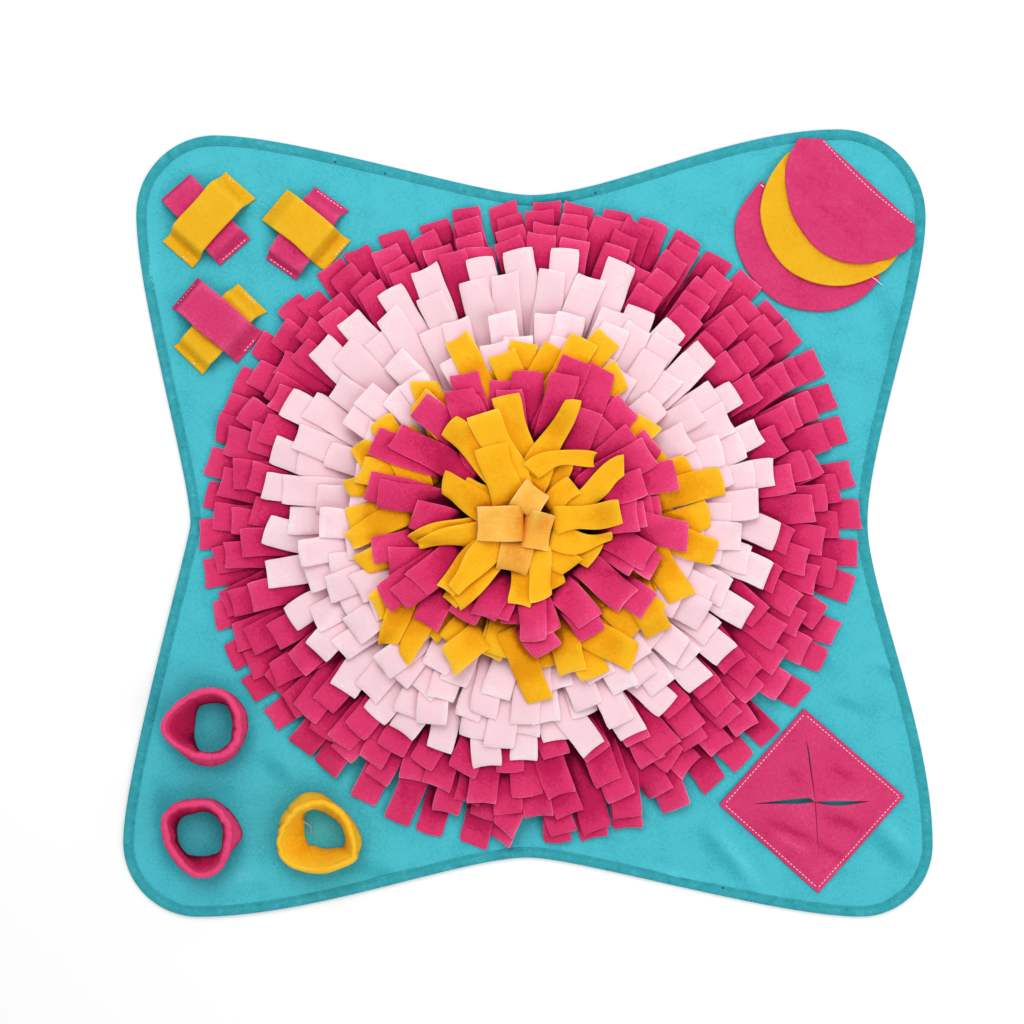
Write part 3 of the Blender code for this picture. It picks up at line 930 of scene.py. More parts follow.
@dataclass
class EdgeBinding:
    """Tape folded over the panel's edge and stitched near its inner edge, finely puckered."""

    outline: MatOutline
    around: int = 1320
    width: float = 9.0
    ply: float = 0.6
    fold_radius: float = 1.45
    top: float = 3.35
    puff: float = 0.35
    seam_inset: float = 7.3
    seam_dip: float = 0.45
    pucker: float = 0.22
    pucker_length: float = 7.5
    knots: tuple[tuple[float, float], ...] = (
        (-165.3, 309.8), (-122.9, 302.0), (59.7, 286.4), (167.3, -316.2),
    )
    seed: int = 11

    def profile(self, count: int = 9) -> Array:
        """The tape's section from its lower edge, round the fold, to its upper edge: two straight
        wings joined by a half ellipse, the upper one puffed a little.

        Args:
            count: points of the fold, the two that the wings give included.

        Returns:
            Way in from the mat's edge and height, one row a point.
        """
        low = self.ply / 2
        middle, rise = (self.top + low) / 2, (self.top - low) / 2
        turns = np.linspace(-math.pi / 2, math.pi / 2, count)[1:-1]
        rounded = np.column_stack(
            [self.fold_radius * (1 - np.cos(turns)) + low, middle + rise * np.sin(turns)]
        )
        wing = np.array([0.0, 0.06, 0.28, 0.52, 0.76, 0.9, 1.0])
        start = self.fold_radius + low
        under = wing[::2]
        lower = np.column_stack([self.width - (self.width - start) * under, np.full(len(under), low)])
        ways = start + (self.width - start) * (1 - wing[::-1])
        to_seam = np.clip((ways - start) / (self.seam_inset - start), 0, 1)
        puffed = self.top + self.puff * np.sin(np.pi * to_seam)
        puffed -= self.seam_dip * np.exp(-(((ways - self.seam_inset) / 1.0) ** 2))
        return np.concatenate([lower, rounded, np.column_stack([ways, puffed])])

    def grid(self) -> Array:
        """The section carried round the edge, with fine cross puckers whose depth varies.

        Returns:
            The tape's middle surface.
        """
        edge = self.outline.points(self.around)
        inward = self.outline.inward(edge)
        way, height = self.profile().T
        steps = np.arange(self.around) / self.around * 2 * math.pi
        length = path_length(np.concatenate([edge, edge[:1]]))
        turns = round(length / self.pucker_length)
        rng = np.random.default_rng(self.seed)
        wander = sum(rng.uniform(0.4, 1.2) * np.sin(k * steps + rng.uniform(0, 6.3)) for k in range(3, 15))
        depth = 0.55 + 0.45 * np.sin(steps * 2 + 2.4) + 0.3 * np.sin(steps * 9 + 1.0)
        ripple = self.pucker * np.clip(depth, 0.15, 1.4) * np.sin(turns * steps + 1.6 * wander)
        upper = smooth_step(2.0, 3.2, height) * smooth_step(0.0, 2.0, way)
        plan = edge[:, None] + inward[:, None] * way[None, :, None]
        z = height[None] + ripple[:, None] * upper[None]
        return np.concatenate([plan, z[..., None]], -1)

    def build(self, pile: PileField) -> bpy.types.Object:
        """Makes the tape, its line of stitches, and the thread's knots on it.

        Args:
            pile: the field that the tape is entered in.

        Returns:
            The tape.
        """
        grid = self.grid()[:, ::-1]
        pile.cover(grid, self.ply, finer=2)
        pattern = SheetPattern(*grid.shape[:2], closed=True)
        tape = make_piece("bound_edge", pattern.skin(grid, self.ply), pattern.faces(), Finish.TEAL_TAPE)
        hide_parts("edge_binding")
        edge = self.outline.points(self.around)
        line = edge + self.outline.inward(edge) * self.seam_inset
        line = np.column_stack([line, np.full(len(line), self.top + 0.05)])
        seam = Seam(stitch=2.9, gap=0.9, width=0.8, height=0.5)
        points, quads = seam.beads(np.concatenate([line, line[:1]]))
        stitches = make_piece("bound_edge_stitches", points, quads, Finish.TEAL_THREAD)
        nearest = np.linalg.norm(line[:, None, :2] - np.array(self.knots)[None], axis=2).argmin(axis=0)
        first, last = line[nearest], line[(nearest + 1) % len(line)]
        points, quads = Seam(width=2.2, height=1.5).placed(first, last)
        knots = make_piece("bound_edge_knots", points, quads, Finish.KNOT_THREAD)
        flat = (path_length(self.profile()) * MM, path_length(edge) * MM)
        return tape


# ---- crossed tabs


@dataclass
class CrossedTab:
    """A felt strip sewn down at both ends and slack between, so that it stands as a low arch."""

    name: str
    finish: Finish
    x0: float
    y0: float
    x1: float
    y1: float
    rise: float
    sewn: tuple[float, float] = (4.0, 4.0)  # how far each end lies flat
    ramp: tuple[float, float] = (13.0, 13.0)  # from where each side of the arch is up
    seams: tuple[tuple[float, float], ...] = ((0.06, 0.94), (0.06, 0.94))  # part of the width still stitched
    splay: tuple[float, ...] = (0.3, 0.3, 0.3, 0.3)  # of the right and left corner at either end
    seed: int = 0
    width: float = 34.0
    flare: float = 4.5  # how far from an end it splays
    fuller: float = 0.14  # share of the rise that only the middle has
    curl: float = 0.4  # of its sides
    rows: int = 60
    columns: int = 20

    def grid(self) -> Array:
        """Rows run from the first sewn end to the second. The height is a plateau between two even
        ramps, fuller in its middle; the sides waver and splay a little at the ends.

        Returns:
            The strip's middle surface.
        """
        length = math.hypot(self.x1 - self.x0, self.y1 - self.y0)
        along = np.array([self.x1 - self.x0, self.y1 - self.y0]) / length
        beside = np.array([-along[1], along[0]])
        way = edged(self.rows, length, CUT_EDGE) * length
        across = edged(self.columns, self.width, CUT_EDGE) * 2 - 1
        rng = np.random.default_rng(self.seed)
        height = smooth_step(self.sewn[0] - 1.0, self.ramp[0], way)
        height = height * smooth_step(self.sewn[1] - 1.0, self.ramp[1], length - way)
        height = height * (1 - self.fuller + self.fuller * np.sin(np.pi * way / length))
        waver = [
            rng.uniform(0.2, 0.6) * np.sin(2 * math.pi * way / rng.uniform(30, 60) + rng.uniform(0, 6.3))
            for _ in (0, 1)
        ]
        ends = np.exp(-((way / self.flare) ** 2)), np.exp(-(((length - way) / self.flare) ** 2))
        halves = [
            self.width / 2 + self.splay[side] * ends[0] + self.splay[side + 2] * ends[1] + waver[side]
            for side in (0, 1)
        ]
        sides = np.where(across[None] < 0, halves[0][:, None], halves[1][:, None])
        middle = np.array([self.x0, self.y0])[None] + along[None] * way[:, None]
        plan = middle[:, None] + beside * (sides * across[None])[..., None]
        z = SEAT + FELT_PLY / 2 + self.rise * height[:, None]
        curl = self.curl * (across**2)[None] * np.sin(2 * np.pi * way / length + rng.uniform(0, 6.3))[:, None]
        z = z + curl * height[:, None]
        return np.concatenate([plan, z[..., None]], -1)

    def build(self, pile: PileField) -> tuple[bpy.types.Object, list[Beads]]:
        """Makes the strip, and the beads of its two end seams.

        Args:
            pile: the field that it is entered in.

        Returns:
            The strip, and points and quads of each seam.
        """
        grid = self.grid()
        pile.cover(grid, FELT_PLY)
        pattern = SheetPattern(*grid.shape[:2])
        tab = make_piece("felt_" + self.name, pattern.skin(grid, FELT_PLY), pattern.faces(), self.finish)
        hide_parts(self.name)
        rows = [self.seam_row(grid, end) for end in (0, 1) if self.seams[end][1] > 0]
        return tab, [Seam().beads(row) for row in rows]

    def seam_row(self, grid: Array, end: int) -> Array:
        """The seam's line across the strip on its upper side, a little in from one end.

        Args:
            grid: the strip's middle surface.
            end: 0 for the first end, 1 for the second.

        Returns:
            Points of the line.
        """
        row = grid[(2, -3)[end], 1:-1]
        ways = np.array(self.seams[end]) * path_length(row)
        row = resampled(row, np.linspace(ways[0], ways[1], 12))
        row[:, 2] += FELT_PLY / 2
        return row


# ---- half-round flaps


@dataclass
class HalfRoundFlap:
    """A felt half-round sewn along its straight edge, with its two corners cut off, lying over the
    flap before it."""

    name: str
    finish: Finish
    edge: tuple[tuple[float, float], tuple[float, float]]  # the straight edge's two ends
    arc: tuple[tuple[float, float], ...]  # round from a corner at the first end to one at the last
    levels: tuple[tuple[float, float], ...] = ()
    lift: float = 1.0
    climb: tuple[float, float] = (9.0, 1.0)  # before and after a level's start, where it rises
    rows: int = 48
    columns: int = 120
    wave_seed: int = 0
    seam_in: float = 3.6
    seam_share: tuple[float, float] = (0.02, 0.98)
    flat: tuple[float, float] = (144.0, 72.0)  # the cut half-round

    def grid(self) -> Array:
        """Rows run from the straight edge to the arc, columns from one side cut to the other: each
        point lies part of the way from its place on the edge to its place on the arc.

        Returns:
            The flap's middle surface.
        """
        first, last = np.array(self.edge)
        along = (last - first) / np.linalg.norm(last - first)
        corners = np.array(self.arc)
        rounded = smooth_path(corners, self.columns)
        width = path_length(rounded)
        across = edged(self.columns, width, CUT_EDGE)
        rounded = resampled(rounded, across * width)
        straight = first + (last - first) * across[:, None]
        reach = float(np.abs((corners - first) @ np.array([along[1], -along[0]])).max())
        down = edged(self.rows, reach, CUT_EDGE)
        plan = straight[None] + (rounded - straight)[None] * down[:, None, None]
        depth = (plan - first) @ np.array([along[1], -along[0]])
        height = np.full(depth.shape, SEAT + FELT_PLY / 2)
        for start, step in self.levels:
            height = height + step * smooth_step(start - self.climb[0], start + self.climb[1], depth)
        rng = np.random.default_rng(self.wave_seed)
        ripple = 0.5 + 0.5 * np.sin(across * 10.0 + rng.uniform(0, 6.3))
        height = height + self.lift * ripple[None] * smooth_step(0.35, 1.0, down)[:, None]
        return np.concatenate([plan, height[..., None]], -1)

    def build(self, pile: PileField) -> tuple[bpy.types.Object, list[Beads]]:
        """Makes the flap, and the beads of the seam along its straight edge.

        Args:
            pile: the field that it is entered in.

        Returns:
            The flap, and points and quads of its seam.
        """
        grid = self.grid()
        pile.cover(grid, FELT_PLY)
        pattern = SheetPattern(*grid.shape[:2])
        flap = make_piece("felt_" + self.name, pattern.skin(grid, FELT_PLY), pattern.faces(), self.finish)
        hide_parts(self.name)
        if self.seam_share[1] == 0:
            return flap, []
        depth = np.linalg.norm(grid[:, self.columns // 2] - grid[0, self.columns // 2], axis=1)
        row = grid[int(np.argmin(abs(depth - self.seam_in)))].copy()
        row[:, 2] += FELT_PLY / 2
        first, last = (int(share * (self.columns - 1)) for share in self.seam_share)
        return flap, [Seam().beads(row[first : last + 1])]


# ---- slit patch


@dataclass
class SlitPatch:
    """A felt square sewn on all four sides and cut crosswise, so that four leaves meet in its middle."""

    corners: tuple[tuple[float, float], ...] = (
        (324.8, -235.5), (238.0, -159.8), (164.7, -242.8), (250.1, -319.3),
    )
    tips: tuple[tuple[float, float], ...] = (
        (293.9, -239.4), (239.3, -186.5), (193.1, -241.8), (250.1, -287.3),
    )
    crossing: tuple[float, float] = (246.5, -239.4)
    gaps: tuple[tuple[float, float], ...] = (  # each leaf's two cut edges: how far they gape, and where
        (0.3, 1.3), (0.9, 2.4), (0.1, 1.3), (3.6, 0.35), (1.0, 2.0), (0.05, 0.8), (0.05, 1.3),
        (3.4, 0.8),
    )
    lifts: tuple[float, ...] = (0.6, 2.4, 0.2, -0.8)  # of each leaf's tip
    creases: tuple[Crease, ...] = (
        Crease(208.0, -257.0, 248.0, -275.0, 5.0, -1.5), Crease(212.0, -268.0, 240.0, -283.0, 4.0, 0.9),
        Crease(252.0, -251.0, 292.0, -266.0, 6.0, -1.6), Crease(250.0, -276.0, 279.0, -294.0, 4.5, -1.6),
        Crease(262.0, -210.0, 284.0, -222.0, 5.0, -1.0), Crease(222.0, -208.0, 236.0, -226.0, 4.0, -0.7),
    )
    leaf_reach: float = 20.0  # how far from the crossing a leaf's tip lifts
    crown: float = 4.5
    sewn_share: float = 0.12
    depth: float = 50.0  # from a side in to a cut
    side_steps: int = 56
    rings: int = 30
    seam_in: float = 3.4

    def grid(self) -> Array:
        """Rows run round the square, columns from its side in to the edge of the cuts. The cloth is
        flat under the seam and swells from there towards the middle.

        Returns:
            The patch's middle surface.
        """
        crossing = np.array(self.crossing)
        outer, inner = [], []
        share = np.arange(self.side_steps) / self.side_steps
        for index in range(4):
            after = (index + 1) % 4
            corner, next_corner = np.array(self.corners[index]), np.array(self.corners[after])
            tip, next_tip = np.array(self.tips[index]), np.array(self.tips[after])
            first, second = crossing - tip, next_tip - crossing
            square_first = np.array([first[1], -first[0]]) / np.linalg.norm(first)
            square_second = np.array([second[1], -second[0]]) / np.linalg.norm(second)
            near = np.clip(share * 2, 0, 1)[:, None]
            far = np.clip(share * 2 - 1, 0, 1)[:, None]
            edge = tip + first * near + second * far
            (gap_in, place_in), (gap_out, place_out) = self.gaps[2 * index : 2 * index + 2]
            edge = edge + square_first * gap_in * np.sin(np.pi * near**place_in) * (far == 0)
            edge = edge + square_second * gap_out * np.sin(np.pi * far**place_out) * (far > 0)
            outer.append(corner + (next_corner - corner) * share[:, None])
            inner.append(edge)
        outer, inner = np.concatenate(outer), np.concatenate(inner)
        inwards = edged(self.rings, self.depth, CUT_EDGE)
        plan = outer[:, None] + (inner - outer)[:, None] * inwards[None, :, None]
        middle = np.mean(self.corners, axis=0)
        side = np.array(self.corners[1]) - np.array(self.corners[0])
        half = np.linalg.norm(side) / 2
        along = side / np.linalg.norm(side)
        across = np.array([-along[1], along[0]])
        reach = np.maximum(abs((plan - middle) @ along), abs((plan - middle) @ across)) / half
        swell = np.clip((1 - self.sewn_share - reach) / (1 - self.sewn_share), 0.0, 1.0)
        height = SEAT + FELT_PLY / 2 + self.crown * swell * (2 - swell)
        leaf = np.repeat(self.lifts, self.side_steps)[:, None]
        height = height + leaf * np.exp(-((np.linalg.norm(plan - crossing, axis=-1) / self.leaf_reach) ** 2))
        height = height + self.folds(plan[..., 0], plan[..., 1]) * smooth_step(0.0, 0.2, swell)
        return np.concatenate([plan, np.maximum(height, SEAT + FELT_PLY / 2)[..., None]], -1)

    def folds(self, x: Array, y: Array) -> Array:
        """Height of all the creases together."""
        return sum(crease.relief(x, y) for crease in self.creases)

    def build(self, pile: PileField) -> tuple[bpy.types.Object, Beads]:
        """Makes the patch and the beads of the seam round it.

        Args:
            pile: the field that it is entered in.

        Returns:
            The patch, and points and quads of its seam.
        """
        grid = self.grid()
        pile.cover(grid, FELT_PLY)
        pattern = SheetPattern(*grid.shape[:2], closed=True)
        points = pattern.skin(grid, FELT_PLY)
        # painted light and shade that follow the patch's creases
        tone = RELIEF_LIGHT_AND_SHADE * self.folds(points[:, 0], points[:, 1])
        patch = make_piece("slit_patch_felt", points, pattern.faces(), Finish.MAGENTA_FELT, tone)
        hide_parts("slit_patch")
        side = float(np.linalg.norm(np.subtract(self.corners[0], self.corners[1]))) * MM
        middle = np.mean(self.corners, axis=0)
        corners = np.array(self.corners)
        shrink = 1 - self.seam_in / (side / MM / 2)
        line = middle + (corners - middle) * shrink
        line = np.concatenate([line, line[:1]])
        line = np.column_stack([line, np.full(len(line), SEAT + FELT_PLY + 0.05)])
        sides = [Seam().beads(line[i : i + 2]) for i in range(4)]
        return patch, joined(sides)


# ---- standing collars


@dataclass(frozen=True)
class Pinch:
    """A crease that runs over a collar's rim."""

    azimuth: float  # of the crease, in degrees
    depth: float
    width: float  # half its width, in degrees
    slant: float = 0.0  # how far round it goes from the foot inside to the foot outside


def round_trip(values: tuple[float, ...], turns: Array) -> Array:
    """A smooth closed curve through evenly spaced values, a cubic between each two.

    Args:
        values: what it goes through, the first at a turn of 0.
        turns: where to read it, in radians.

    Returns:
        Its values there.
    """
    nodes = np.array(values)
    place = turns / (2 * math.pi) * len(nodes)
    index = np.floor(place).astype(int)
    part = place - index
    return through(*(nodes[(index + k) % len(nodes)] for k in (-1, 0, 1, 2)), part)


@dataclass
class Collar:
    """A fleece band folded double and closed to a ring that stands on its two raw edges, with a
    soft roll where it is folded. Inner edge, fold and outer edge are each a closed curve through
    distances from the middle, the first to the right and one for every 15 degrees from there,
    counter-clockwise."""

    name: str
    finish: Finish
    foot: tuple[float, float]
    lean: tuple[float, float]  # of the fold, off the middle of the foot
    inner: tuple[float, ...]
    crest: tuple[float, ...]
    outer: tuple[float, ...]
    pinches: tuple[Pinch, ...]
    height: float = 30.0
    roll: float = 2.3
    thinning: float = 0.045
    settle: float = 0.12  # how much lower the fold is for each millimetre that it leans out
    pinch_drop: float = 0.6
    ply: float = 2.0
    around: int = 192
    bulge: float = 0.8
    wrinkle: float = 0.16
    inner_painted_shade: float = 0.22  # painted shade inside the ring, where its walls shade it; below 0 it is painted light
    seed: int = 0

    def section(self, turns: Array) -> tuple[Array, Array, Array]:
        """The band's way up the inner side, over the fold and down the outer side: a slightly
        hollow line, half a circle, and a parabola that bulges outwards.

        Args:
            turns: azimuths in radians.

        Returns:
            Distances from the middle, heights, and the share of the way, for each azimuth.
        """
        inner, crest, outer = (round_trip(v, turns)[:, None] for v in (self.inner, self.crest, self.outer))
        crest = np.maximum(crest, inner + 1.5)
        roll = np.clip(self.roll - self.thinning * (crest - inner), 1.3, 2.4)
        top = self.height - self.settle * (crest - inner) - roll
        up = np.linspace(0.0, 1.0, 14)[None, :-1]
        round_top = np.linspace(math.pi, 0.0, 13)[None]
        down = np.linspace(0.0, 1.0, 15)[None, 1:]
        start, end = inner, crest - roll
        inside = start + (end - start) * up - self.bulge * np.sin(math.pi * up)
        control = np.maximum(outer, crest + roll) + self.bulge
        outside = (1 - down) ** 2 * (crest + roll) + 2 * down * (1 - down) * control + down**2 * outer
        way = np.concatenate([inside, crest + roll * np.cos(round_top), outside], axis=1)
        falling = top * ((1 - down) ** 2 + 2 * down * (1 - down) * 0.5)
        rise = np.concatenate([top * up, top + roll * np.sin(round_top), falling], axis=1)
        share = np.broadcast_to(np.linspace(0.0, 1.0, way.shape[1])[None], way.shape)
        return way, rise, share

    def grid(self) -> Array:
        """The middle surface: rows run round the ring, columns along the section. Each crease pulls
        it in by a bell across the crease, and short waves give the cloth its small wrinkles.

        Returns:
            Its points.
        """
        turns = np.arange(self.around) / self.around * 2 * math.pi
        way, rise, share = self.section(turns)
        rng = np.random.default_rng(self.seed)
        free = np.sin(np.pi * share) ** 0.5
        for count in range(5, 16):
            phase, drift = rng.uniform(0, 6.3), rng.uniform(-2.5, 2.5)
            wave = np.sin(count * turns[:, None] + phase + drift * share)
            way = way + self.wrinkle * rng.uniform(0.2, 1.0) * wave * free
        for pinch in self.pinches:
            off = np.degrees(turns)[:, None] - pinch.azimuth - pinch.slant * (share - 0.5)
            off = (off + 180.0) % 360.0 - 180.0
            bell = np.exp(-((off / pinch.width) ** 2)) * free * (0.3 + 0.7 * smooth_step(0.15, 0.45, share))
            way = way - pinch.depth * bell
            rise = rise - self.pinch_drop * pinch.depth * bell * share
        shift = rise[..., None] / self.height * np.array(self.lean)
        x = self.foot[0] + shift[..., 0] + way * np.cos(turns)[:, None]
        y = self.foot[1] + shift[..., 1] + way * np.sin(turns)[:, None]
        return np.stack([x, y, SEAT + self.ply / 2 + np.maximum(rise, 0.0)], -1)

    def build(self, pile: PileField) -> bpy.types.Object:
        """Makes the ring.

        Args:
            pile: the field that it is entered in.

        Returns:
            The ring.
        """
        grid = self.grid()[:, ::-1]
        pile.cover(grid, self.ply)
        pattern = SheetPattern(*grid.shape[:2], closed=True)
        # painted shade on the ring's inner side, deepest towards its foot
        inside = smooth_step(0.38, 0.28, np.linspace(1.0, 0.0, pattern.columns))
        tone = pattern.both(np.broadcast_to(-self.inner_painted_shade * inside, grid.shape[:2]))
        skin = pattern.skin(grid, self.ply)
        ring = make_piece("fleece_" + self.name, skin, pattern.faces(), self.finish, tone)
        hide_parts(self.name)
        return ring


# ---- fringe


@dataclass(frozen=True)
class Strip:
    """One fleece strip as it was cut and as it would stand if nothing lay under it. Its tip is
    where it belongs; its root follows from its length and curve."""

    azimuth: float  # of its tip round the middle, in degrees
    reach: float  # of its tip from the middle
    root: float  # its root's distance from the middle, where its length allows
    length: float
    rise: float  # slope at its root, in degrees
    fall: float  # slope at its tip
    lean: float = 0.0  # heading off its ray at the tip, counter-clockwise
    width: float = 25.0
    root_width: float = 24.0
    taper: float = 1.0  # width at the tip as a share of the width
    bend: float = 0.0  # turn of its heading from root to tip
    sway: float = 0.0  # S-shaped turn of its heading
    roll: float = 0.0
    twist: float = 0.0
    skew: float = 0.0  # the cut end off square
    bow: float = 0.0  # the cut end's middle beyond its corners
    cup: float = 0.0  # the sides above the middle
    wander: float = 0.4  # how far the cut sides stray
    wave: float = 0.0
    wave_turn: float = 0.0
    snap: float = 1.0  # below 1, the curve is sharpest near its start
    sag: float = 6.0
    shade: float = 0.0  # painted shade towards the root, where the strips laid after it cover it
    shade_from: float = 0.8


@dataclass
class StripShaper:
    """Works out how a strip lies on the pile."""

    field: PileField
    rows: int = 34
    columns: int = 9
    ply: float = 1.7
    air: float = 0.8
    edge: float = 1.1
    stiffness: int = 7
    steepest: float = 95.0  # rise in degrees at which a strip would stay straight to its tip
    end_narrowing: float = 1.3

    def slopes(self, strip: Strip, share: Array) -> tuple[Array, float]:
        """Slope along a strip: it keeps the rise for a while and then turns to the fall. The stretch
        that it keeps the rise for is the one that puts the root at its distance: as the run is that
        stretch at the rise's cosine and the rest at the curve's mean cosine, it follows directly.

        Args:
            strip: the strip.
            share: places along it, from 0 to 1.

        Returns:
            Slopes in radians, and the share at which the curve starts.
        """
        rise, fall = math.radians(strip.rise), math.radians(strip.fall)
        curve = rise + (fall - rise) * np.linspace(0.0, 1.0, 200) ** strip.snap
        mean = float(np.cos(curve).mean())
        run = (strip.reach - strip.root) / strip.length
        hold = min(max((mean - run) / (mean - math.cos(rise)), 0.0), strip.rise / self.steepest)
        turned = np.clip((share - hold) / (1 - hold), 0.0, 1.0) ** strip.snap
        ripple = strip.wave * np.sin(2 * math.pi * 1.3 * share + strip.wave_turn)
        ripple = ripple * smooth_step(0.2, 0.6, share)
        return rise + (fall - rise) * turned + ripple, hold

    def free(self, strip: Strip) -> tuple[Array, float]:
        """The strip's middle surface with nothing under it. Its slope and its heading are summed along
        its length to a middle line, which is then shifted so that its tip is in place; each row of
        points lies square to the heading, tipped by the roll.

        Args:
            strip: the strip.

        Returns:
            The surface, and the share at which its curve starts.
        """
        share = edged(self.rows, strip.length, self.edge)
        across = edged(self.columns, strip.width, self.edge) * 2 - 1
        slope, hold = self.slopes(strip, share)
        azimuth = math.radians(strip.azimuth)
        heading = azimuth + np.radians(
            strip.lean + strip.bend * (share - 1.0) + strip.sway * np.sin(2 * math.pi * share)
        )
        step = np.diff(share, prepend=0.0) * strip.length
        advance, climb = np.cos(slope) * step, np.cumsum(np.sin(slope) * step)
        x, y = np.cumsum(advance * np.cos(heading)), np.cumsum(advance * np.sin(heading))
        x += strip.reach * math.cos(azimuth) - x[-1]
        y += strip.reach * math.sin(azimuth) - y[-1]
        middle = np.column_stack([x, y, SEAT + self.ply / 2 + climb])
        roll = np.radians(strip.roll * share**0.5 + strip.twist * share**2)
        beside = np.column_stack([-np.sin(heading), np.cos(heading), np.zeros(self.rows)])
        ahead = np.column_stack(
            [np.cos(slope) * np.cos(heading), np.cos(slope) * np.sin(heading), np.sin(slope)]
        )
        normal = np.cross(ahead, beside)
        side = beside * np.cos(roll)[:, None] + normal * np.sin(roll)[:, None]
        lift = normal * np.cos(roll)[:, None] - beside * np.sin(roll)[:, None]
        gathered = smooth_step(0.0, 0.3, share)
        full = strip.width * (1 + (strip.taper - 1) * smooth_step(0.5, 1.0, share))
        full = full - self.end_narrowing * smooth_step(0.95, 1.0, share) ** 2
        half = (strip.root_width + (full - strip.root_width) * gathered) / 2
        turn = 2 * math.pi * share + strip.wave_turn
        stray = np.where(across > 0, np.sin(1.7 * turn)[:, None], np.sin(2.3 * turn + 1.0)[:, None])
        beside_middle = half[:, None] * across + strip.wander * stray * np.abs(across)
        grid = middle[:, None] + side[:, None] * beside_middle[..., None]
        near_end = smooth_step(0.7, 1.0, share)[:, None]
        cut = across * math.tan(math.radians(strip.skew)) * strip.width / 2 - strip.bow * across**2
        grid += ahead[:, None] * (near_end * cut[None])[..., None]
        cupped = strip.cup * (across**2 - 0.3)[None] * smooth_step(0.3, 1.0, share)[:, None]
        grid += lift[:, None] * cupped[..., None]
        return grid, hold

    def lay(self, strip: Strip) -> Array:
        """The strip raised and let down until it rests on the pile: it sags where nothing is near,
        and its height is evened out again and again but kept above the pile, so it bridges small
        steps as a stiff cloth does. The field then takes the strip's height.

        Args:
            strip: what to lay.

        Returns:
            Its middle surface in place.
        """
        grid, hold = self.free(strip)
        share = np.linspace(0.0, 1.0, self.rows)[:, None]
        needed = self.field.under(grid) + self.ply / 2 + self.air - grid[..., 2]
        free_share = smooth_step(0.8 * hold, hold + 0.1, share)
        needed = np.maximum(needed, -strip.sag * share**1.5)
        lift = needed
        for _ in range(self.stiffness):
            lift = np.maximum(evened(lift), needed)
        grid[..., 2] += evened(lift) * free_share
        self.field.cover(grid, self.ply)
        return grid


@dataclass(frozen=True)
class FringeRow:
    """A band of strips that stand side by side on a ring, each given by its tip's azimuth and its
    reach, and then its lean and its twist where it has any."""

    name: str
    stands_for: tuple[str, ...]
    finish: Finish
    tips: tuple[tuple[float, ...], ...]
    root: float
    length: float
    rise: float
    fall: float
    width: float = 25.0
    uneven: float = 3.0
    bend: float = 7.0
    sway: float = 3.0
    roll: float = 6.0
    twist: float = 9.0
    wave: float = 0.07
    skew: float = 7.0
    bow: float = 1.4
    cup: float = 0.6
    # painted shade towards each strip's root
    shade: float = 0.22

    def strips(self, rng: np.random.Generator, root_width: float) -> list[Strip]:
        """The row's strips in the order in which they are laid, each a little off the row's shape.

        Args:
            rng: what draws the small differences.
            root_width: the width of a strip at its root.

        Returns:
            The strips.
        """
        strips = []
        for index in rng.permutation(len(self.tips)):
            azimuth, reach, lean, twist = (*self.tips[index], 0.0, 0.0)[:4]
            length = self.length + rng.uniform(-self.uneven, self.uneven)
            rise, fall = self.rise + rng.uniform(-4.0, 4.0), self.fall + rng.uniform(-5.0, 5.0)
            width, taper = self.width + rng.uniform(-1.5, 1.2), 1 + rng.uniform(-0.06, 0.06)
            spread = {}
            for name in ("bend", "sway", "roll", "twist", "skew", "bow", "cup"):
                most = getattr(self, name)
                spread[name] = rng.uniform(-most, most)
            spread["twist"] += twist
            spread["wave"], spread["wave_turn"] = rng.uniform(0.0, self.wave), rng.uniform(0.0, 2 * math.pi)
            cut = Strip(azimuth, reach, self.root, length, rise, fall, lean, width, root_width, taper)
            strips.append(replace(cut, shade=self.shade, shade_from=0.97, **spread))
        return strips


